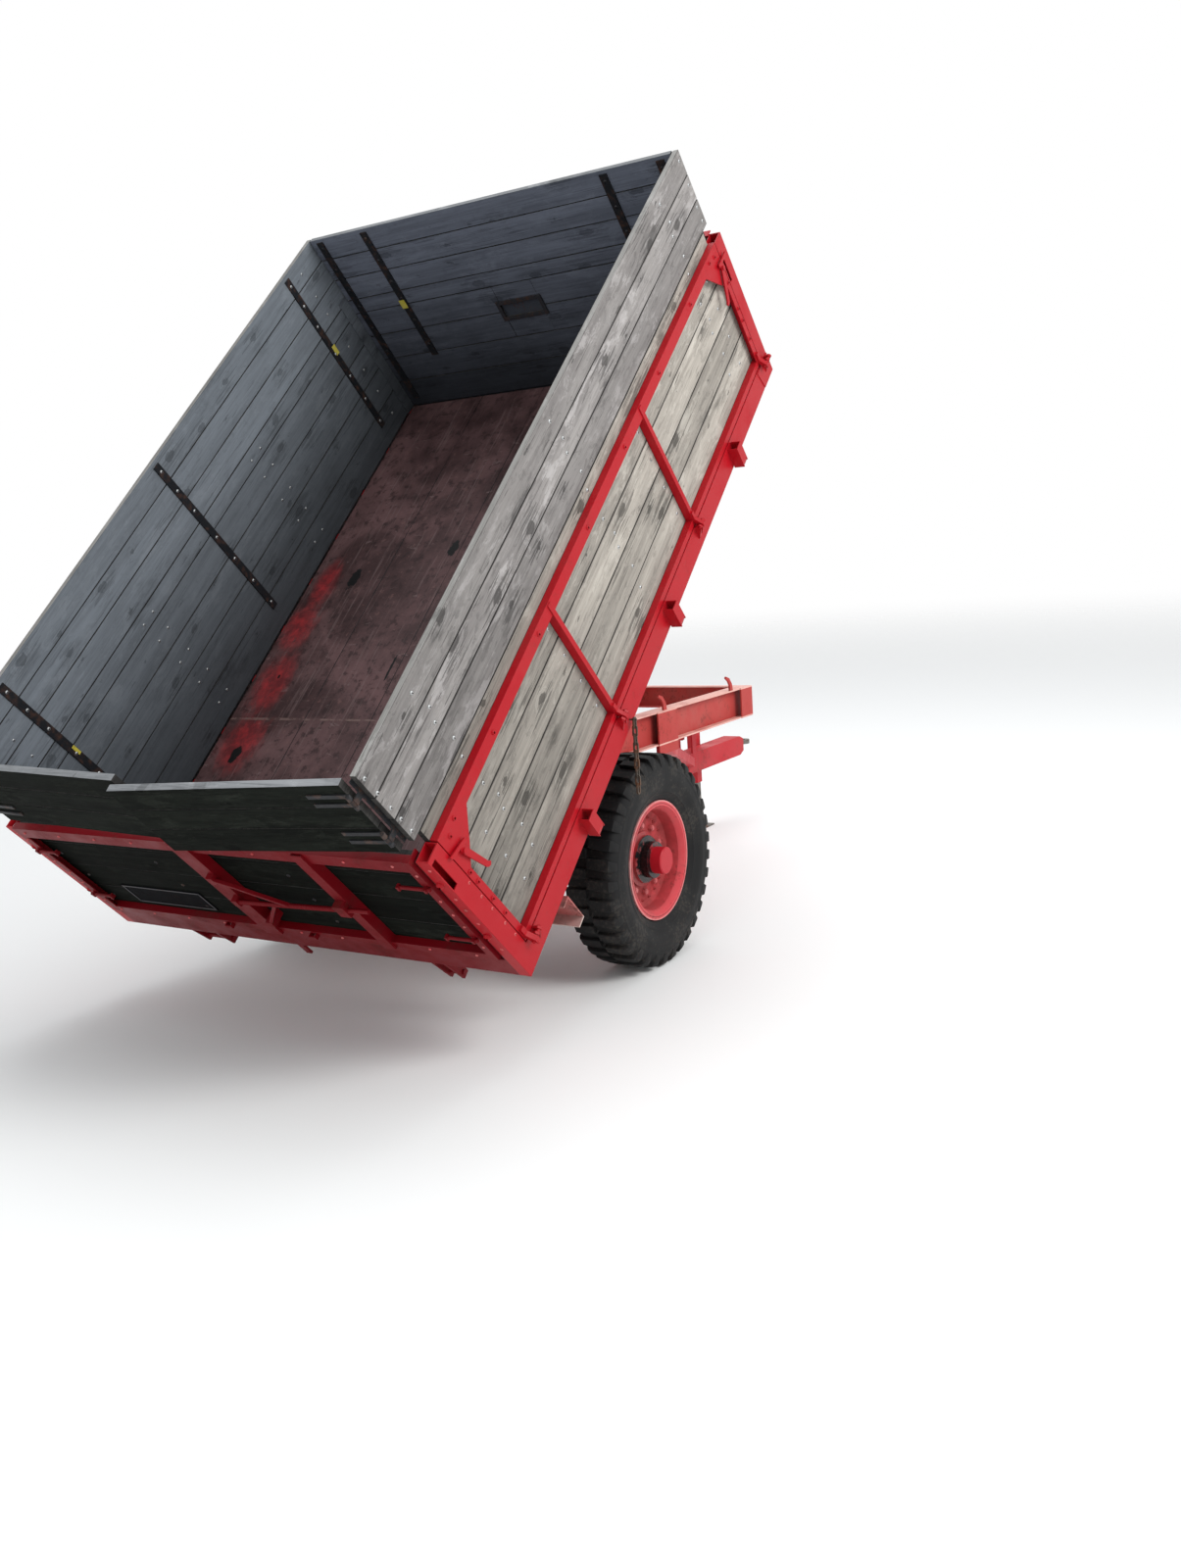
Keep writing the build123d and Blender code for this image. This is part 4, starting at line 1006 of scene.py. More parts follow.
def build_finishes() -> None:
    """Builds every material once and keeps it by name."""
    bed = {"colour": BED_RED, "faded": FADED_RED, "fade": 0.25, "rust": 0.05, "rough": 0.36, "dirt": 0.2}
    side = {"light": rgb(178, 171, 161), "dark": rgb(140, 134, 126), "worn": rgb(192, 186, 176),
            "wear": 0.55, "foot": 0.86, "stain": 0.75}
    extension = {"light": rgb(144, 140, 137), "dark": rgb(116, 112, 110), "worn": rgb(164, 160, 158),
                 "wear": 0.65, "foot": 0.66, "stain": 0.6}
    recipes = (
        Paint("bed_paint", **bed),
        DarkInside("side_frame_paint", **bed, width=1.196, top=0.900),
        # The inner faces of the side rails and the corner posts are dark as painted shade in the gaps beside
        # the floor and the boards.
        DarkInside("side_rail_paint", **bed, width=1.222),
        DarkInside("post_paint", **bed, width=1.174),
        DarkInside("front_frame_paint", **bed, length=3.705),
        DarkInside("hatch_paint", rgb(66, 70, 78), rgb(84, 82, 84), fade=0.5, rust=0.3, rough=0.7, dirt=0.3,
                   length=3.695, dark=rgb(50, 50, 54)),
        # The tailgate's frame, latch, sill and threaded rod: a darker red than the bed's, as painted shade of
        # the rear face, with its own dirt.
        Paint("gate_paint", rgb(116, 8, 19), rgb(132, 28, 34), fade=0.25, rust=0.1, rough=0.4, dirt=0.35),
        Paint("bolt_paint", rgb(206, 92, 92), rgb(222, 150, 146), fade=0.4, rust=0.1, rough=0.4, dirt=0.2),
        DirtyBelow("under_beam_paint", rgb(172, 84, 82), rgb(198, 168, 160), fade=0.5, rust=0.2, rough=0.5,
                   dirt=0.4, level=UNDER_BEAM_V),
        PaleTops("chassis_paint", rgb(178, 62, 58), rgb(202, 106, 98), fade=0.5, rust=0.14, rough=0.5,
                 dirt=0.35, in_bed=False, levels=FLANGE_TOPS),
        Paint("drawbar_paint", rgb(186, 30, 42), rgb(204, 84, 84), fade=0.35, rust=0.15, rough=0.42,
              dirt=0.3, in_bed=False),
        RimPaint("rim_paint", rgb(204, 72, 78), rgb(212, 116, 116), fade=0.4, rust=0.16, rough=0.5, dirt=0.4,
                 in_bed=False),
        HubPaint("hub_paint", rgb(156, 42, 46), rgb(196, 108, 108), fade=0.4, rust=0.2, rough=0.5, dirt=0.45,
                 in_bed=False),
        # The outsides of the side boards (rear=0.60) and of the extensions (rear=0.80) darken towards the
        # rear as painted shade.
        OldWood("side_wood", **side, rear=0.60),
        OldWood("side_wood_across", **side, grain=Grain.ACROSS),
        OldWood("extension_wood", **extension, rear=0.80),
        OldWood("extension_wood_across", **extension, grain=Grain.ACROSS),
        # Inner faces of the side walls: darker, bluer copy of the boards' wood as painted shade inside the
        # bed, darker still towards the floor (foot) as dirt and painted shade.
        OldWood("inner_wood", rgb(124, 131, 138), rgb(106, 112, 118), rgb(136, 142, 148), knots=0.45,
                foot=0.34, tones=0.14, stain=0.4, seam=0.42),
        # Inner faces of the front wall, the tailgate and the leaves: the same darker, bluer wood as painted
        # shade, darkest towards the floor (foot) as dirt and painted shade.
        OldWood("front_wood", rgb(112, 118, 131), rgb(90, 95, 106), rgb(124, 130, 142), Grain.ACROSS,
                knots=0.45, foot=0.2, tones=0.14, stain=0.4, seam=0.35),
        # Rear faces of the tailgate and the leaves: near-black wood, darkened as painted shade of the rear
        # face, which faces down.
        OldWood("dark_wood", rgb(27, 30, 26), rgb(14, 16, 14), rgb(46, 49, 44), Grain.ACROSS, knots=0.4,
                foot=0.9, tones=0.5, gloss=0.05, seam=0.6),
        OldWood("end_wood", rgb(64, 62, 60), rgb(36, 35, 34), rgb(84, 82, 78), knots=0.0, foot=1.0, seam=0.0),
        OldWood("edge_wood", rgb(156, 154, 150), rgb(124, 122, 118), rgb(186, 184, 180), knots=0.3, foot=1.0,
                seam=0.0),
        OldWood("edge_wood_across", rgb(146, 148, 150), rgb(110, 112, 114), rgb(180, 182, 184), Grain.ACROSS,
                knots=0.3, foot=1.0, seam=0.0),
        FloorSteel(),
        Rubber(),
        Metal("bolt_steel", rgb(176, 178, 178), rgb(110, 84, 70), rough=0.35, metal=0.8, rust=0.2),
        Metal("dark_steel", rgb(40, 41, 44), rgb(74, 56, 48), rough=0.5, metal=0.3, rust=0.5),
        Metal("bare_steel", rgb(120, 116, 110), rgb(96, 64, 48), rough=0.45, metal=0.7, rust=0.6),
        Metal("chain_steel", rgb(74, 66, 58), rgb(96, 66, 46), rough=0.5, metal=0.5, rust=0.8),
        Metal("cast", rgb(50, 46, 44), rgb(88, 62, 50), rough=0.6, metal=0.3, rust=0.8),
        Metal("ram_steel", rgb(130, 130, 134), rgb(70, 60, 54), rough=0.22, metal=0.9, rust=0.1),
        Paint("plate", rgb(15, 16, 18), rgb(27, 27, 30), fade=0.4, rust=0.05, rough=0.75, gloss=0.05),
        Paint("plate_border", rgb(88, 88, 92), rgb(112, 110, 110), fade=0.4, rust=0.1, rough=0.6, gloss=0.1),
        Paint("yellow_mark", rgb(206, 190, 70), rgb(214, 204, 120), fade=0.4, rust=0.1, rough=0.6, dirt=0.1),
        FloorFinish("stage_floor", rgb(248, 248, 246)),
    )
    for recipe in recipes:
        FINISHES[recipe.name] = recipe.build()


def recolour(node: str, finish: str) -> None:
    """Gives a frame node a better material and leaves its shape alone."""
    for slot in frame["nodes"][node].material_slots:
        slot.material = FINISHES[finish]


def recolour_frame() -> None:
    """Better materials for the frame's own nodes, apart from the wheels'."""
    table = {
        "bed_paint": ("bed_underframe", "ram_cup"),
        "gate_paint": ("tailgate_frame", "tailgate_latch", "rear_sill"),
        "side_rail_paint": ("side_rail_right", "side_rail_left"),
        "post_paint": ("corner_posts",),
        "side_frame_paint": ("side_frame_right", "side_frame_left"),
        "front_frame_paint": ("front_frame",),
        "hatch_paint": ("front_hatch",),
        "under_beam_paint": ("rear_under_beam",),
        "chassis_paint": ("beam_right", "beam_left", "cross_members", "tip_pivot", "ram_barrel"),
        "drawbar_paint": ("drawbar", "stand_tube"),
        "floor_steel": ("floor_sheet",),
        "bare_steel": ("towing_eye", "stand_leg"),
        "chain_steel": ("keeper_chain",),
        "cast": ("axle_beam", "leaf_springs"),
        "ram_steel": ("ram_stage_1", "ram_stage_2", "ram_rod"),
        "plate": ("blank_plate",),
    }
    for finish, nodes in table.items():
        for node in nodes:
            recolour(node, finish)
            LOG.info("%s: %s", node, finish)


# Meshes


def new_object(name: str, mesh: bpy.types.Mesh) -> bpy.types.Object:
    """Links a mesh to the scene as an object at the origin."""
    obj = bpy.data.objects.new(name, mesh)
    bpy.context.scene.collection.objects.link(obj)
    return obj


def mesh_from(work: bmesh.types.BMesh, name: str) -> bpy.types.Mesh:
    """Turns what a bmesh holds into a new mesh and frees it."""
    mesh = bpy.data.meshes.new(name)
    work.to_mesh(mesh)
    work.free()
    return mesh


def mesh_of(name: str, points: Iterable[Sequence[float]], faces: Iterable[Sequence[int]]) -> bpy.types.Mesh:
    """A mesh from points and faces, its doubles merged and its normals turned outward.

    Args:
        name: Name of the mesh.
        points: The points.
        faces: The numbers of each face's points.

    Returns:
        The mesh.
    """
    mesh = bpy.data.meshes.new(name)
    mesh.from_pydata([tuple(p) for p in points], [], [tuple(f) for f in faces])
    work = bmesh.new()
    work.from_mesh(mesh)
    bmesh.ops.remove_doubles(work, verts=work.verts, dist=1e-6)
    bmesh.ops.recalc_face_normals(work, faces=work.faces)
    work.to_mesh(mesh)
    work.free()
    return mesh


def smooth(mesh: bpy.types.Mesh, degrees: float) -> None:
    """Smooth shading with edges kept sharp above an angle."""
    mesh.shade_smooth()
    mesh.set_sharp_from_angle(angle=math.radians(degrees))


def box_mesh(name: str, cuts: tuple[int, int, int] = (1, 1, 1)) -> bpy.types.Mesh:
    """A unit box round the origin, whose attribute "across" runs from -1 to 1 up its height.

    Args:
        name: Name of the mesh.
        cuts: How many steps it is cut into along each axis.

    Returns:
        The mesh.
    """
    work = bmesh.new()
    bmesh.ops.create_cube(work, size=1.0)
    for index, count in enumerate(cuts):
        normal = Vector((0.0, 0.0, 0.0))
        normal[index] = 1.0
        for i in range(1, count):
            geometry = work.verts[:] + work.edges[:] + work.faces[:]
            point = normal * (i / count - 0.5)
            bmesh.ops.bisect_plane(work, geom=geometry, plane_co=point, plane_no=normal)
    mesh = mesh_from(work, name)
    across = mesh.attributes.new("across", "FLOAT", "POINT")
    across.data.foreach_set("value", [2 * v.co.z for v in mesh.vertices])
    return mesh


def turned(name: str, outline: Sequence[tuple[float, float]], steps: int) -> bpy.types.Mesh:
    """A turned shape about Y.

    Args:
        name: Name of the mesh.
        outline: Points of the outline as (radius, offset along Y). Of the points on the axis only the first
            ring's are used, so an outline that starts and ends there stays open at its ends.
        steps: How many steps it has round the axis.

    Returns:
        The mesh.
    """
    points, faces = [], []
    count = len(outline)
    for i in range(steps):
        a = 2 * math.pi * i / steps
        points += [(r * math.cos(a), off, r * math.sin(a)) for r, off in outline]
    closed = outline[0][0] > 0
    for i in range(steps):
        j = (i + 1) % steps
        for k in range(count if closed else count - 1):
            n = (k + 1) % count
            ring = (i * count + k, i * count + n, j * count + n, j * count + k)
            kept = [v for v in ring if outline[v % count][0] > 0 or v < count]
            if len(kept) >= 3:
                faces.append(kept)
    return mesh_of(name, points, faces)


def joined(name: str, parts: Sequence[bpy.types.Mesh]) -> bpy.types.Mesh:
    """One mesh from several of the same material, their smooth shading kept.

    Args:
        name: Name of the mesh.
        parts: The meshes.

    Returns:
        The mesh.
    """
    work = bmesh.new()
    for part in parts:
        work.from_mesh(part)
    for face in work.faces:
        face.material_index = 0
    mesh = mesh_from(work, name)
    mesh.materials.append(parts[0].materials[0])
    return mesh


def loose_parts(node: str, keep: Callable[[Vector], bool]) -> bpy.types.Mesh:
    """A copy of some of a frame node's solids.

    Args:
        node: The frame node.
        keep: Says by its size whether a solid is kept.

    Returns:
        The mesh of the kept solids, its doubles merged.
    """
    work = bmesh.new()
    work.from_mesh(frame["nodes"][node].data)
    bmesh.ops.remove_doubles(work, verts=work.verts, dist=1e-6)
    left = set(work.verts)
    while left:
        island, queue = set(), [left.pop()]
        while queue:
            vert = queue.pop()
            island.add(vert)
            for edge in vert.link_edges:
                other = edge.other_vert(vert)
                if other in left:
                    left.discard(other)
                    queue.append(other)
        points = np.array([v.co for v in island])
        if not keep(Vector(points.max(0) - points.min(0))):
            bmesh.ops.delete(work, geom=list(island), context="VERTS")
    bmesh.ops.recalc_face_normals(work, faces=work.faces)
    mesh = mesh_from(work, f"{node}_parts")
    smooth(mesh, 30)
    return mesh


@dataclass(frozen=True)
class Spot:
    """Where one copy goes: its place, turn in radians, size and tone."""

    place: Place
    turn: tuple[float, float, float] = (0.0, 0.0, 0.0)
    size: tuple[float, float, float] = (1.0, 1.0, 1.0)
    tone: float = 0.5


def grow(name: str, mesh: bpy.types.Mesh, tree: bpy.types.NodeTree, inputs: dict,
         bevel: float = 0.0) -> bpy.types.Mesh:
    """Runs a Geometry Nodes tree on a mesh and keeps the result as a plain mesh.

    Args:
        name: Name of the result.
        mesh: The mesh that the tree starts from.
        tree: The tree.
        inputs: Values by the names of the tree's inputs.
        bevel: Width of the rounded edges, or 0 for none.

    Returns:
        The finished mesh.
    """
    work = new_object(f"{name}_work", mesh)
    modifier = work.modifiers.new("copies", "NODES")
    modifier.node_group = tree
    for item in tree.interface.items_tree:
        if item.in_out == "INPUT" and item.name in inputs:
            modifier[item.identifier] = inputs[item.name]
    if bevel:
        rounding = work.modifiers.new("edges", "BEVEL")
        rounding.width, rounding.segments = bevel, 2
        rounding.limit_method, rounding.angle_limit = "ANGLE", math.radians(40)
    depsgraph = bpy.context.evaluated_depsgraph_get()
    result = bpy.data.meshes.new_from_object(work.evaluated_get(depsgraph))
    result.name = name
    bpy.data.objects.remove(work)
    return result


def copies(name: str, template: bpy.types.Mesh, spots: Sequence[Spot], finish: str, bow: float = 0.0,
           bevel: float = 0.0) -> bpy.types.Mesh:
    """Copies a template mesh to each spot.

    Args:
        name: Name of the result.
        template: What is copied.
        spots: Where the copies go.
        finish: Name of the material.
        bow: How far the copies bend, in metres.
        bevel: Width of the rounded edges, in metres.

    Returns:
        The mesh of all copies.
    """
    points = bpy.data.meshes.new(f"{name}_spots")
    points.from_pydata([s.place for s in spots], [], [])
    for label, kind, values in (
        ("turn", "FLOAT_VECTOR", [s.turn for s in spots]),
        ("size", "FLOAT_VECTOR", [s.size for s in spots]),
        ("tone", "FLOAT", [s.tone for s in spots]),
    ):
        layer = points.attributes.new(label, kind, "POINT")
        part = "vector" if kind == "FLOAT_VECTOR" else "value"
        layer.data.foreach_set(part, np.array(values, np.float32).ravel())
    holder = new_object(f"{name}_template", template)
    inputs = {"Template": holder, "Finish": FINISHES[finish], "Bow": bow, "Seed": float(SEED)}
    mesh = grow(name, points, SPOTS_TREE, inputs, bevel)
    bpy.data.objects.remove(holder)
    return mesh


def place(name: str, mesh: bpy.types.Mesh, body: str, slot: str = "", turn: Matrix | None = None,
          nodes: Sequence[str] = ()) -> bpy.types.Object:
    """Puts a finished mesh into the scene on a body of the frame.

    Args:
        name: Name of the object.
        mesh: Its mesh.
        body: The body that it rides on.
        slot: The record's material slot; not used.
        turn: Matrix from the mesh's own coordinates to the frame's.
        nodes: Frame nodes that it stands for.

    Returns:
        The object.
    """
    if turn is not None:
        mesh.transform(turn)
    obj = new_object(name, mesh)
    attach(obj, body)
    if nodes:
        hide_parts(*nodes)
    LOG.info("%s: %d faces on %s", name, len(mesh.polygons), body)
    return obj


def dome(name: str, radius: float, height: float) -> bpy.types.Mesh:
    """A low round bolt head along Z, sunk by half its height into what it stands on.

    Args:
        name: Name of the mesh.
        radius: Its radius.
        height: How far it stands out.

    Returns:
        The mesh.
    """
    outline = [(0.0, height), (radius * 0.45, height * 0.92), (radius * 0.8, height * 0.6), (radius, 0.0),
               (radius, -height * 0.5), (0.0, -height * 0.5)]
    mesh = turned(name, outline, 14)
    mesh.transform(Matrix.Rotation(math.pi / 2, 4, "X"))
    smooth(mesh, 50)
    return mesh


def place_bolts(name: str, spots: Sequence[Spot], radius: float, height: float, finish: str, body: str,
                slot: str) -> None:
    """Makes domed heads on spots of the bed's frame and puts them on a body.

    Args:
        name: Name of the object.
        spots: Where the heads go.
        radius: A head's radius in metres.
        height: How far a head stands out, in metres.
        finish: Name of the material.
        body: The body that they ride on.
        slot: The record's material slot.
    """
    mesh = copies(name, dome(f"{name}_head", radius, height), spots, finish)
    place(name, mesh, body, slot, BED)


def place_strips(name: str, spots: Sequence[Spot], finish: str, body: str, slot: str = "",
                 bevel: float = 0.0) -> None:
    """Makes flat strips on spots of the bed's frame and puts them on a body.

    Args:
        name: Name of the object.
        spots: Where the strips go, with their sizes.
        finish: Name of the material.
        body: The body that they ride on.
        slot: The record's material slot, if there is one.
        bevel: Width of the rounded edges, in metres.
    """
    mesh = copies(name, box_mesh(f"{name}_strip"), spots, finish, 0.0, bevel)
    place(name, mesh, body, slot, BED)


# Walls


@dataclass
class Boards:
    """A wall of planks that stands for one frame node, with its own finish on each face.

    Attributes:
        name: Name of the object.
        body: The body that it rides on.
        node: The frame node that it stands for.
        seams: The heights between which the planks lie.
        outer: Finish outside.
        inner: Finish inside.
        edge: Finish of the top edge, where it is capped.
        slot: The record's material slot.
        inward: The direction to the inside, in the wall's own coordinates.
        turn: The matrix from those coordinates to the frame's.
        low: The wall's lowest corner, or the node's.
        high: The wall's highest corner, or the node's.
        hole: An opening as (y0, y1, v0, v1).
        capped: Whether the top edge shows its own finish.
        gap: The gap between two planks.
        bow: How far a plank bends.
        rounding: The radius of a plank's edges.
        slip: How far a plank may lie from its place, lengthways.
        trim: How much shorter a plank may be.
        planed: How much thinner than the node it is.
        steps: How many steps a plank has along its length.
    """

    name: str
    body: str
    node: str
    seams: tuple[float, ...]
    outer: str
    inner: str
    edge: str
    slot: str
    inward: tuple[float, float, float]
    turn: Matrix = field(default_factory=lambda: BED.copy())
    low: Vector | None = None
    high: Vector | None = None
    hole: tuple[float, float, float, float] | None = None
    capped: bool = True
    gap: float = 0.0042
    bow: float = 0.0024
    rounding: float = 0.0022
    slip: float = 0.001
    trim: float = 0.002
    planed: float = 0.0015
    steps: int = 12

    def spots(self) -> list[Spot]:
        """Lays out the planks, slightly uneven, and cut round the hole.

        Returns:
            One spot for each plank.
        """
        low, high = local_box(self.node, self.turn) if self.low is None else (self.low, self.high)
        random = np.random.default_rng(SEED + sum(map(ord, self.name)))
        spots = []
        for v0, v1 in zip(self.seams, self.seams[1:]):
            tone = float(random.uniform(0, 1))
            for y0, y1, bottom, top in self._pieces(low.y, high.y, v0, v1):
                slip = random.uniform(-self.slip, self.slip)
                shorter, _ = random.uniform(0.0, self.trim, 2)
                centre = [(low.x + high.x) / 2, (y0 + y1) / 2, (bottom + top) / 2]
                size = [high.x - low.x, y1 - y0, top - bottom - self.gap]
                thin, long = (0, 1) if size[0] < size[1] else (1, 0)
                centre[long] += slip
                size[long] -= shorter
                size[thin] -= self.planed
                spots.append(Spot(tuple(centre), size=tuple(size), tone=tone))
        return spots

    def _pieces(self, y0: float, y1: float, v0: float, v1: float) -> list[tuple[float, float, float, float]]:
        """Cuts one plank round the hole.

        Args:
            y0: Where it starts.
            y1: Where it ends.
            v0: Its lower edge.
            v1: Its upper edge.

        Returns:
            The parts that the hole leaves, as (y0, y1, v0, v1).
        """
        if not self.hole or self.hole[3] <= v0 or self.hole[2] >= v1:
            return [(y0, y1, v0, v1)]
        hole_y0, hole_y1, hole_v0, hole_v1 = self.hole
        left = [(y0, hole_y0, v0, v1), (hole_y1, y1, v0, v1)]
        if hole_v0 > v0:
            left.append((hole_y0, hole_y1, v0, hole_v0))
        if hole_v1 < v1:
            left.append((hole_y0, hole_y1, hole_v1, v1))
        return left

    def _finish_of(self, polygon: bpy.types.MeshPolygon) -> int:
        """Chooses a face's finish by the way that it looks.

        Args:
            polygon: The face.

        Returns:
            0 for the outer finish, 1 for the inner one, 2 for the edge's and 3 for the ends'.
        """
        facing = polygon.normal.dot(Vector(self.inward))
        if abs(facing) > 0.6:
            return 0 if facing < 0 else 1
        on_top = polygon.normal.z > 0.5 and polygon.center.z > self.seams[-1] - 0.008
        return 2 if self.capped and on_top else 3

    def build(self) -> bpy.types.Object:
        """Builds the wall.

        Returns:
            The object.
        """
        lengthways = abs(self.inward[1]) > 0.5
        template = box_mesh(f"{self.name}_plank", (self.steps, 1, 1) if lengthways else (1, self.steps, 1))
        mesh = copies(self.name, template, self.spots(), self.outer, self.bow, self.rounding)
        mesh.materials.clear()
        for finish in (self.outer, self.inner, self.edge, "end_wood"):
            mesh.materials.append(FINISHES[finish])
        for polygon in mesh.polygons:
            polygon.material_index = self._finish_of(polygon)
        return place(self.name, mesh, self.body, self.slot, self.turn, (self.node,))


@dataclass
class DropSide:
    """A drop side: its boards, the grey extension above, and the bolts on both and on its frame.

    The sizes are in metres in the bed's frame, with y as the distance from the trailer's middle.
    """

    side: Side
    outside_y: float = 1.1935
    inside_y: float = 1.1645
    straps_y: float = 1.1585
    frame_y: float = 1.2305
    stagger: float = 0.012
    bolt_r: float = 0.0095

    def boards(self) -> None:
        """Builds the two walls of planks."""
        word, inward = self.side.name.lower(), (0, -self.side.value, 0)
        body = f"side_gate_{word}"
        Boards(f"planks_side_{word}", body, f"side_boards_{word}", SIDE_SEAMS, "side_wood", "inner_wood",
               "edge_wood", "side_wood", inward, capped=False).build()
        Boards(f"planks_extension_{word}", body, f"side_extension_{word}", EXT_SEAMS, "extension_wood",
               "inner_wood", "edge_wood", "extension_wood", inward).build()

    def _outside(self) -> list[tuple[float, float]]:
        """Finds the bolts on the boards' outside.

        Returns:
            Their places as (u, v).
        """
        found = [(0.050, v) for v in (1.285, 1.200, 1.110, 1.040, 0.965)]
        found += [(3.680, v) for v in (1.285, 1.160, 1.040, 0.965)]
        for u in STRAPS_U:
            for heights in ((0.285, 0.400, 0.545, 0.610, 0.720), (0.890, 0.975, 1.100, 1.160, 1.270)):
                found += [(u + (self.stagger if i % 2 else -self.stagger), v) for i, v in enumerate(heights)]
        for u in (0.30, 1.20, 1.29, 2.39, 2.49, 3.50):
            found += [(u, v) for v in (0.245, 0.415, 0.585, 0.750)]
        return found

    def board_bolts(self) -> None:
        """Builds the bolts through the boards, outside, on the inner straps and between them."""
        s, word = self.side.value, self.side.name.lower()
        outward, inward = OUTWARD[self.side], OUTWARD[Side(-s)]
        spots = [Spot((u, s * self.outside_y, v), outward) for u, v in self._outside()]
        spots += [Spot((u, s * self.straps_y, v), inward) for u in STRAPS_U
                  for v in (0.30, 0.47, 0.64, 0.80, 0.99, 1.13, 1.26)]
        inner = [(u, v) for u in (1.20, 1.29, 2.39, 2.49) for v in (0.25, 0.42, 0.58, 0.75, 0.87)]
        inner += [(u, v) for u in (0.12, 0.30, 3.50) for v in (0.25, 0.42, 0.58, 0.75, 0.98, 1.10, 1.25)]
        spots += [Spot((u, s * self.inside_y, v), inward, (0.8, 0.8, 0.8)) for u, v in inner]
        place_bolts(f"board_bolts_{word}", spots, self.bolt_r, 0.0045, "bolt_steel", f"side_gate_{word}",
                    "bare_steel")

    def frame_bolts(self) -> None:
        """Builds the bolts of the frame's corner plates and of its upper rail."""
        s, word = self.side.value, self.side.name.lower()
        plates = [(0.095, v) for v in (0.622, 0.556, 0.432, 0.326)] + [(0.134, 0.809), (0.200, 0.830)]
        plates += [(3.628, v) for v in (0.482, 0.410, 0.296, 0.640)] + [(3.590, 0.815), (3.520, 0.830)]
        plates += [(u, 0.830) for u in (0.60, 1.10, 1.70, 2.20, 2.70, 3.20)]
        spots = [Spot((u, s * self.frame_y, v), OUTWARD[self.side], (1.25, 1.25, 1.5)) for u, v in plates]
        place_bolts(f"frame_bolts_{word}", spots, self.bolt_r, 0.005, "bed_paint", f"side_gate_{word}",
                    "bed_paint")

    def marks(self) -> None:
        """Builds two small marks of yellow paint on the inner straps."""
        spots = [Spot((3.386, 1.1575, 0.817), size=(0.032, 0.001, 0.060)),
                 Spot((0.462, 1.1575, 0.811), size=(0.018, 0.001, 0.055))]
        place_strips("yellow_marks_side", spots, "yellow_mark", f"side_gate_{self.side.name.lower()}")

    def build(self) -> None:
        """Builds the drop side; only the left one has marks."""
        self.boards()
        self.board_bolts()
        self.frame_bolts()
        if self.side is Side.LEFT:
            self.marks()


@dataclass
class FrontWall:
    """The front wall: boards round a hatch, the extension above, corner liners, bolts and a mark.

    The sizes are in metres in the bed's frame, each place as (u, y, v).
    """

    half_width: float = 1.158
    thickness: float = 0.030
    hatch: tuple[float, float, float, float] = (-0.090, 0.170, 0.635, 0.720)
    liner_at: Place = (3.6585, 1.1603, 0.5515)
    liner_size: Place = (0.087, 0.0036, 0.813)
    straps_u: float = 3.6845

    def boards(self) -> None:
        """Builds the two walls of planks."""
        low, high = local_box("front_boards", BED)
        low.y, high.y, low.x = -self.half_width, self.half_width, high.x - self.thickness
        Boards("planks_front", "bed", "front_boards", SIDE_SEAMS, "side_wood_across", "front_wood",
               "edge_wood_across", "inner_wood", (-1, 0, 0), low=low, high=high, hole=self.hatch,
               capped=False).build()
        Boards("planks_front_extension", "bed", "front_extension", EXT_SEAMS, "extension_wood_across",
               "front_wood", "edge_wood_across", "inner_wood", (-1, 0, 0)).build()

    def liners(self) -> None:
        """Builds the upright boards that line the two front corners."""
        u, y, v = self.liner_at
        spots = [Spot((u, s.value * y, v), size=self.liner_size, tone=0.4) for s in Side]
        place_strips("corner_liners", spots, "inner_wood", "bed", "inner_wood", bevel=0.001)

    def bolts(self) -> None:
        """Builds the bolts on the inner straps."""
        heights = (0.56, 0.73, 0.88, 0.99, 1.13, 1.27)
        spots = [Spot((self.straps_u, y, v), REARWARD) for y in FRONT_STRAPS_Y for v in heights]
        place_bolts("front_bolts", spots, 0.0095, 0.0045, "dark_steel", "bed", "bare_steel")

    def build(self) -> None:
        """Builds the front wall."""
        self.boards()
        self.liners()
        self.bolts()
        mark = Spot((3.6835, 0.785, 0.840), size=(0.001, 0.040, 0.055))
        place_strips("yellow_marks_front", [mark], "yellow_mark", "bed")


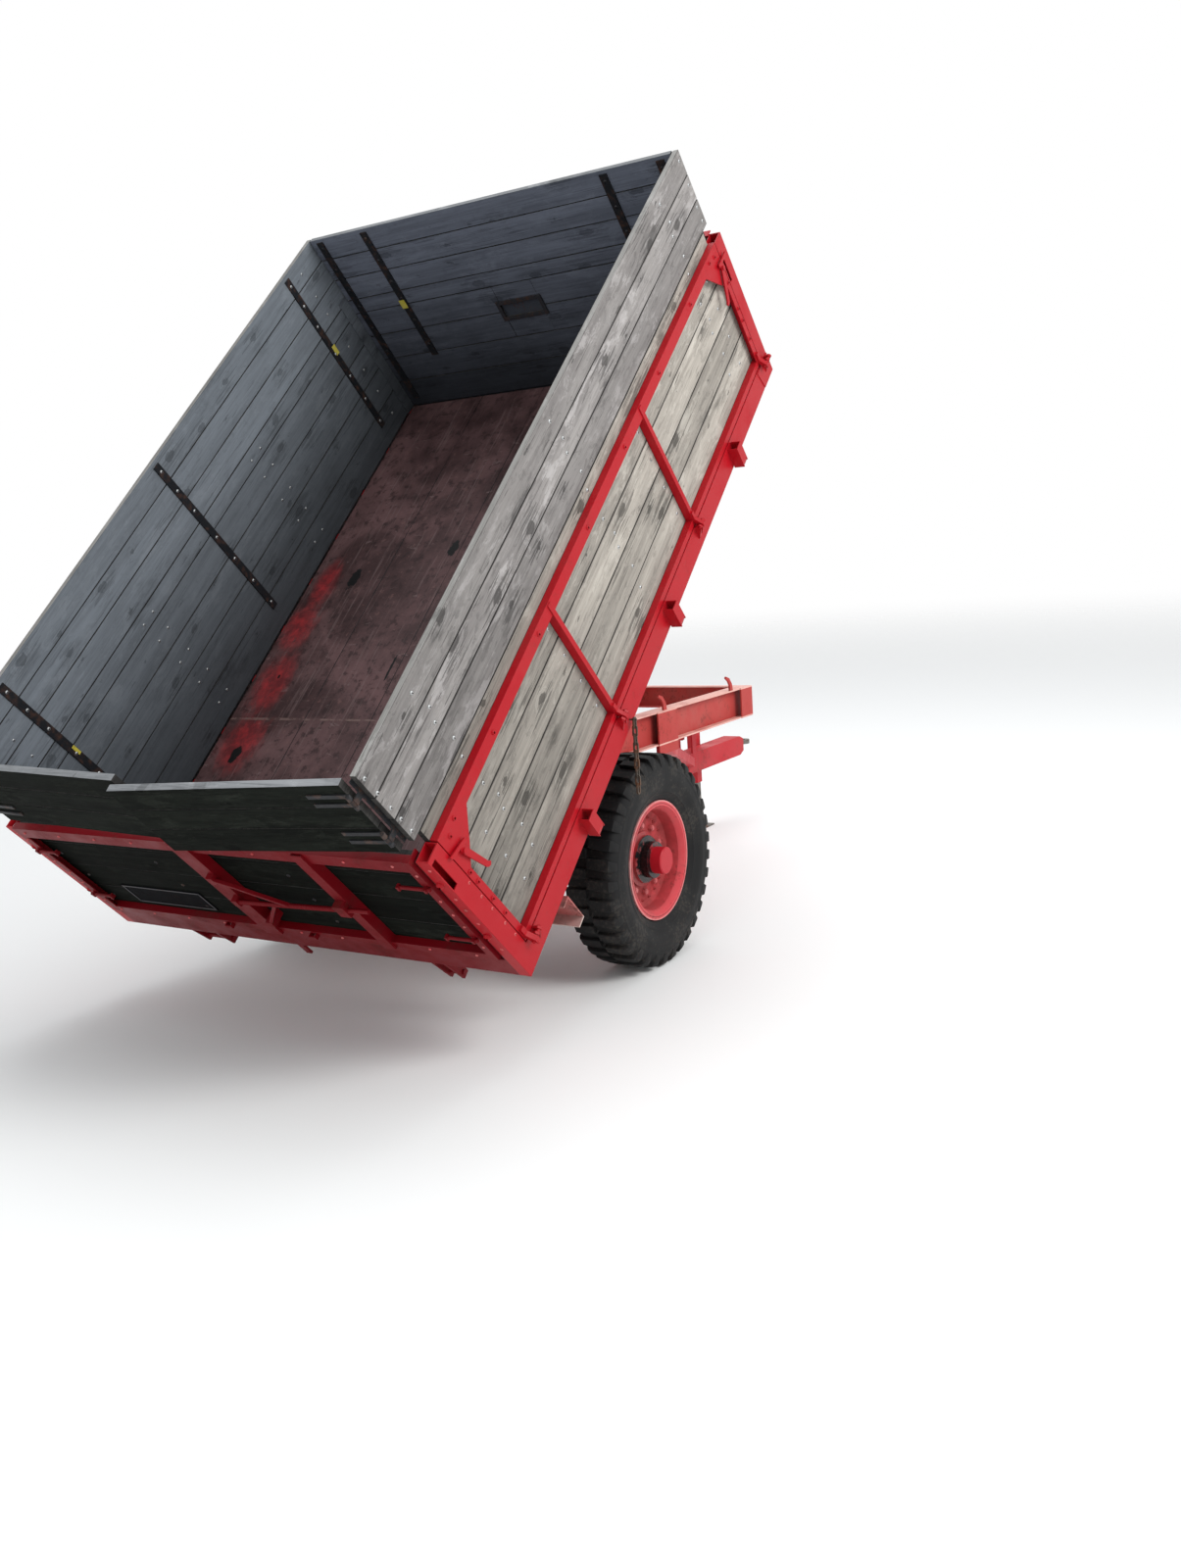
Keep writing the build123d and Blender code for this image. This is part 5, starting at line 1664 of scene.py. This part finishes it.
@dataclass
class Tailgate:
    """The tailgate: its boards and bolts, the plate's border and the turns of its threaded rod.

    The sizes are in metres in the bed's frame, each place as (u, y, v).
    """

    boards_u: float = 0.0045
    frame_u: float = -0.0305
    ends_y: float = 1.140
    plate_at: Place = (-0.0005, 0.665, 0.295)
    border_half: tuple[float, float] = (0.258, 0.0675)
    border_length: tuple[float, float] = (0.524, 0.142)
    border_width: float = 0.008
    border_thickness: float = 0.001
    rod_start: Place = (-0.062, 0.018, 0.4627)
    rod_end: Place = (-0.062, -0.560, 0.4973)
    rod_turns: int = 96

    def boards(self) -> None:
        """Builds the planks."""
        Boards("planks_tailgate", "tailgate", "tailgate_boards", GATE_SEAMS, "dark_wood", "front_wood",
               "edge_wood_across", "dark_wood", (1, 0, 0), capped=False).build()

    def bolts(self) -> None:
        """Builds the bolts on the boards and on the frame's rails and ends."""
        spots = [Spot((self.boards_u, y, v), REARWARD) for y in (-1.10, -0.35, 0.45, 1.10)
                 for v in (0.25, 0.43, 0.62, 0.76)]
        place_bolts("gate_bolts", spots, 0.009, 0.0045, "dark_steel", "tailgate", "bare_steel")
        spots = [Spot((self.frame_u, y, v), REARWARD) for v in (0.835, 0.168)
                 for y in np.arange(-1.06, 1.1, 0.24).tolist()]
        spots += [Spot((self.frame_u, s.value * self.ends_y, v), REARWARD) for s in Side
                  for v in (0.25, 0.41, 0.50, 0.60, 0.78)]
        place_bolts("gate_frame_bolts", spots, 0.0065, 0.005, "bolt_paint", "tailgate", "bed_paint")

    def plate_border(self) -> None:
        """Builds the raised border round the blank plate."""
        (u, y, v), (half_y, half_v), (long_y, long_v) = self.plate_at, self.border_half, self.border_length
        upright = (self.border_thickness, self.border_width, long_v)
        level = (self.border_thickness, long_y, self.border_width)
        spots = [Spot((u, y + side * half_y, v), size=upright) for side in (-1, 1)]
        spots += [Spot((u, y, v + side * half_v), size=level) for side in (-1, 1)]
        place_strips("plate_border", spots, "plate_border", "tailgate", "plate")

    def thread(self) -> None:
        """Builds the turns of the threaded rod."""
        start, end = Vector(self.rod_start), Vector(self.rod_end)
        tilt = math.atan2(end.z - start.z, end.y - start.y)
        last = self.rod_turns - 1
        spots = [Spot(tuple(start.lerp(end, i / last)), (tilt, 0.0, 0.0)) for i in range(self.rod_turns)]
        outline = [(0.0095, -0.003), (0.0112, -0.0006), (0.0112, 0.0006), (0.0095, 0.003)]
        mesh = copies("gate_thread", turned("thread", outline, 16), spots, "gate_paint")
        place("gate_thread", mesh, "tailgate", "bed_paint", BED)

    def build(self) -> None:
        """Builds the tailgate."""
        self.boards()
        self.bolts()
        self.plate_border()
        self.thread()


@dataclass
class RearPosts:
    """The bolts of the rear corner posts and the knobs of their lock rods, in metres in the bed's frame."""

    side_u: float = 0.062
    side_y: float = 1.2305
    rear_u: float = -0.0145
    rear_y: float = 1.205
    knob_y: float = 1.192

    def build(self) -> None:
        """Builds the bolts and the knobs."""
        spots = [Spot((self.side_u, side.value * self.side_y, v), OUTWARD[side]) for side in Side
                 for v in (0.60, 0.50, 0.41, 0.30, 0.21)]
        spots += [Spot((self.rear_u, side.value * self.rear_y, v), REARWARD) for side in Side
                  for v in (0.80, 0.60, 0.52, 0.42, 0.22)]
        place_bolts("post_bolts", spots, 0.0075, 0.005, "bolt_paint", "bed", "bed_paint")
        knobs = [Spot((self.rear_u, side.value * self.knob_y, v), REARWARD, (1.9, 1.9, 3.0)) for side in Side
                 for v in (0.700, 0.320)]
        place_bolts("post_knobs", knobs, 0.0095, 0.005, "bed_paint", "bed", "bed_paint")


@dataclass
class RearLeaf:
    """A rear leaf: its planks, and the strap hinges of its frame node.

    The sizes are in metres in the leaf's own frame. The two leaves meet a little left of the middle.
    """

    side: Side
    meeting_y: float = 0.005
    half_gap: float = 0.004
    outer_y: float = 1.138
    rear_u: float = -0.010
    front_u: float = 0.024
    longest_hinge: float = 0.5

    def build(self) -> None:
        """Builds the planks and keeps a copy of the hinges."""
        s, word = self.side.value, self.side.name.lower()
        inner, outer = self.meeting_y + s * self.half_gap, s * self.outer_y
        low = Vector((self.rear_u, min(inner, outer), LEAF_SEAMS[0]))
        high = Vector((self.front_u, max(inner, outer), LEAF_SEAMS[-1]))
        body, node = f"leaf_{word}", f"rear_leaf_{word}"
        Boards(f"planks_leaf_{word}", body, node, LEAF_SEAMS, "dark_wood", "front_wood", "edge_wood_across",
               "dark_wood", (1, 0, 0), leaf_frame(self.side), low, high).build()
        hinges = loose_parts(node, lambda size: max(size) < self.longest_hinge)
        hinges.materials.clear()
        hinges.materials.append(FINISHES["dark_steel"])
        place(f"leaf_hinges_{word}", hinges, body, "bare_steel")


# Wheels


@dataclass
class Wheel:
    """A tyre with staggered lugs on its CAD rim and hub, and the ring of small disc bolts.

    Attributes:
        side: Which wheel.
        lugs: How many lugs each of the two rows has.
        carcass_half: Half the carcass's outline, from the bead to the tread, as (radius, offset).
        lug_rows: The lug's rows over the shoulder, as (offset, top radius, share of the pitch).
        lug_layers: The lug's layers from its foot up, as (depth under the top, share of the row's width).
        upright: The offset at which a lug stands upright.
        slope: How much of the pitch it leans for each metre of offset from there.
        shoulder: The offset past which a lug's foot is sunk into the sidewall.
        sink: How far it is sunk for each metre past it.
        disc_bolts: How many bolts the disc has.
        disc_bolt_circle: The radius of their circle.
        disc_bolt_out: How far out from the wheel's middle plane they stand.
    """

    side: Side
    lugs: int = 34
    carcass_half: tuple[tuple[float, float], ...] = (
        (0.296, 0.094), (0.302, 0.102), (0.318, 0.110), (0.334, 0.1165), (0.338, 0.1205), (0.343, 0.1195),
        (0.372, 0.1325), (0.400, 0.1385), (0.404, 0.1385), (0.430, 0.1375), (0.447, 0.1345), (0.450, 0.1355),
        (0.455, 0.1340), (0.478, 0.1275), (0.494, 0.118), (0.503, 0.106), (0.507, 0.090), (0.508, 0.045),
    )
    lug_rows: tuple[tuple[float, float, float], ...] = (
        (0.005, TYRE_R - 0.001, 0.23), (0.050, TYRE_R, 0.25), (0.096, TYRE_R - 0.002, 0.27),
        (0.117, TYRE_R - 0.007, 0.27), (0.127, TYRE_R - 0.022, 0.25), (0.134, TYRE_R - 0.058, 0.20),
    )
    lug_layers: tuple[tuple[float, float], ...] = ((0.026, 1.12), (0.003, 1.0), (0.0, 0.90))
    upright: float = 0.05
    slope: float = 0.9
    shoulder: float = 0.117
    sink: float = 0.35
    disc_bolts: int = 20
    disc_bolt_circle: float = 0.209
    disc_bolt_out: float = 0.003

    def carcass(self) -> bpy.types.Mesh:
        """The tyre's body with ribs on the sidewall.

        Returns:
            The mesh, with the wheel's centre at its origin.
        """
        mirrored = tuple((r, -off) for r, off in reversed(self.carcass_half))
        mesh = turned("tyre", self.carcass_half + mirrored, 4 * self.lugs)
        smooth(mesh, 40)
        mesh.materials.append(FINISHES["rubber"])
        return mesh

    def lug(self, row: int) -> bpy.types.Mesh:
        """One lug: a slightly leaning block that runs over the shoulder.

        Args:
            row: The sign of the row's side.

        Returns:
            The mesh, round the wheel's centre.
        """
        pitch = 2 * math.pi / self.lugs
        points, faces = [], []
        for off, top, wide in self.lug_rows:
            lean = (off - self.upright) * self.slope * pitch
            for number, (depth, share) in enumerate(self.lug_layers):
                radius = top - depth
                inset = 0.0 if number else max(0.0, off - self.shoulder) * self.sink
                for sign in (-1, 1):
                    a = lean + sign * wide * share * pitch
                    points.append((radius * math.cos(a), row * (off - inset), radius * math.sin(a)))
        loop = (0, 2, 4, 5, 3, 1)
        count = len(loop)
        for r in range(len(self.lug_rows) - 1):
            for k in range(count):
                a, b = loop[k], loop[(k + 1) % count]
                faces.append((r * count + a, r * count + b, (r + 1) * count + b, (r + 1) * count + a))
        faces.append(loop)
        faces.append([(len(self.lug_rows) - 1) * count + k for k in reversed(loop)])
        return mesh_of(f"lug_{row}", points, faces)

    def tyre(self, centre: Vector) -> None:
        """Builds the tyre.

        Args:
            centre: The wheel's centre.
        """
        word = self.side.name.lower()
        body = self.carcass()
        body.transform(Matrix.Translation(centre))
        parts = [body]
        for row, phase in ((-1, 0.0), (1, 0.5)):
            inputs = {"Count": self.lugs, "Phase": phase, "Centre": centre, "Finish": FINISHES["rubber"]}
            lugs = grow(f"lugs_{word}_{row}", self.lug(row), RING_TREE, inputs)
            smooth(lugs, 28)
            parts.append(lugs)
        name = f"tyre_{word}_tread"
        place(name, joined(name, parts), f"wheel_{word}", "tyre", nodes=(f"tyre_{word}",))

    def bolts(self, centre: Vector) -> None:
        """Builds the small bolts of the disc.

        Args:
            centre: The wheel's centre.
        """
        s, word = self.side.value, self.side.name.lower()
        bolt = dome("disc_bolt", 0.0085, 0.008)
        bolt.transform(Matrix.Rotation(-s * math.pi / 2, 4, "X"))
        bolt.transform(Matrix.Translation((self.disc_bolt_circle, s * self.disc_bolt_out, 0)))
        inputs = {"Count": self.disc_bolts, "Phase": 0.25, "Centre": centre, "Finish": FINISHES["rim_paint"]}
        name = f"disc_bolts_{word}"
        place(name, grow(name, bolt, RING_TREE, inputs), f"wheel_{word}", "wheel_paint")

    def build(self) -> None:
        """Builds the tyre and the bolts, and paints the frame's rim and hub."""
        word = self.side.name.lower()
        centre = Vector((AXLE_X, self.side.value * WHEEL_Y, HUB_Z))
        self.tyre(centre)
        self.bolts(centre)
        recolour(f"rim_{word}", "rim_paint")
        recolour(f"hub_{word}", "hub_paint")


# Stage


@dataclass
class Stage:
    """Floor, light and camera.

    Attributes:
        reach: Half the floor's side, in metres.
        under: How far the floor lies below the wheels, in metres.
        sky: The soft light's colour.
        strength: The soft light's strength.
        aim: What the lamps look at.
        lamps: Each lamp's name, place, size in metres, power in watts and colour.
        eye: The camera's place, fitted to the photo.
        view_deg: The camera's yaw, pitch and roll, fitted to the photo.
        focal_px: Its focal length, in pixels of the photo.
        height_px: The photo's height, in pixels.
        sensor: The sensor's height, in millimetres.
    """

    reach: float = 150.0
    under: float = 0.001
    sky: Colour = (0.95, 0.97, 1.0)
    strength: float = 0.80
    aim: Place = (-0.5, 0.0, 1.6)
    lamps: tuple[tuple[str, Place, float, float, Colour], ...] = (
        ("key", (-1.0, -9.0, 7.5), 4.5, 560, (1.0, 1.0, 1.0)),
        ("sky", (1.5, 1.5, 11.0), 8.0, 380, (0.94, 0.97, 1.0)),
    )
    eye: Place = (-6.0584, -4.1537, 2.0385)
    view_deg: tuple[float, float, float] = (31.9101, -10.1721, -3.8236)
    focal_px: float = 1322.5342
    height_px: float = 1600
    sensor: float = 36

    def floor(self) -> None:
        """A pale plain floor."""
        signs = ((-1, -1), (1, -1), (1, 1), (-1, 1))
        corners = [(x * self.reach, y * self.reach, -self.under) for x, y in signs]
        mesh = mesh_of("stage_floor", corners, [(0, 1, 2, 3)])
        mesh.materials.append(FINISHES["stage_floor"])
        new_object("stage_floor", mesh)

    def world(self) -> None:
        """Soft light all round, and a white background for what looks past the floor."""
        world = bpy.data.worlds.new("studio")
        bpy.context.scene.world = world
        world.use_nodes = True
        graph = Nodes(world.node_tree)
        soft = graph.tree.nodes["Background"]
        soft.inputs["Color"].default_value = (*self.sky, 1)
        soft.inputs["Strength"].default_value = self.strength
        white = graph.add("ShaderNodeBackground", {"Color": (1, 1, 1, 1)})
        path = graph.tree.nodes.new("ShaderNodeLightPath").outputs
        share = path["Is Camera Ray"]
        for kind in ("Is Glossy Ray", "Is Transmission Ray"):
            share = graph.add("ShaderNodeMath", {0: share, 1: path[kind]}, operation="MAXIMUM")
        mixed = graph.add("ShaderNodeMixShader", {0: share, 1: soft.outputs[0], 2: white})
        graph.tree.links.new(mixed, graph.tree.nodes["World Output"].inputs[0])

    def light(self, name: str, at: Place, size: float, power: float, colour: Colour) -> None:
        """A square soft light that looks at the trailer's middle.

        Args:
            name: Its name.
            at: Its place.
            size: Its side, in metres.
            power: Its power, in watts.
            colour: Its colour.
        """
        lamp = bpy.data.lights.new(name, "AREA")
        lamp.shape, lamp.size, lamp.energy, lamp.color = "SQUARE", size, power, colour
        obj = bpy.data.objects.new(name, lamp)
        bpy.context.scene.collection.objects.link(obj)
        obj.location = at
        obj.rotation_mode = "QUATERNION"
        obj.rotation_quaternion = (Vector(self.aim) - Vector(at)).to_track_quat("-Z", "Y")

    def camera(self) -> None:
        """The photo's place and viewing angle."""
        yaw, pitch, roll = (math.radians(a) for a in self.view_deg)
        ahead = Vector((math.cos(pitch) * math.cos(yaw), math.cos(pitch) * math.sin(yaw), math.sin(pitch)))
        right = Vector((math.sin(yaw), -math.cos(yaw), 0))
        up = right.cross(ahead)
        right, up = math.cos(roll) * right + math.sin(roll) * up, math.cos(roll) * up - math.sin(roll) * right
        data = bpy.data.cameras.new("camera")
        data.sensor_fit, data.sensor_height, data.sensor_width = "VERTICAL", self.sensor, self.sensor
        data.lens = self.focal_px / self.height_px * self.sensor
        camera = bpy.data.objects.new("camera", data)
        matrix = Matrix((right, up, -ahead)).transposed().to_4x4()
        matrix.translation = Vector(self.eye)
        camera.matrix_world = matrix
        bpy.context.scene.collection.objects.link(camera)
        bpy.context.scene.camera = camera

    def build(self) -> None:
        """Builds the stage."""
        self.floor()
        self.world()
        for lamp in self.lamps:
            self.light(*lamp)
        self.camera()
        bpy.context.scene.view_settings.view_transform = "Standard"


def main() -> None:
    """Builds the trailer's looks part by part."""
    logging.basicConfig(level=logging.INFO, format="%(message)s")
    build_finishes()
    recolour_frame()
    for side in Side:
        DropSide(side).build()
    FrontWall().build()
    Tailgate().build()
    RearPosts().build()
    for side in Side:
        RearLeaf(side).build()
        Wheel(side).build()
    Stage().build()


if __name__ == "__main__":
    main()
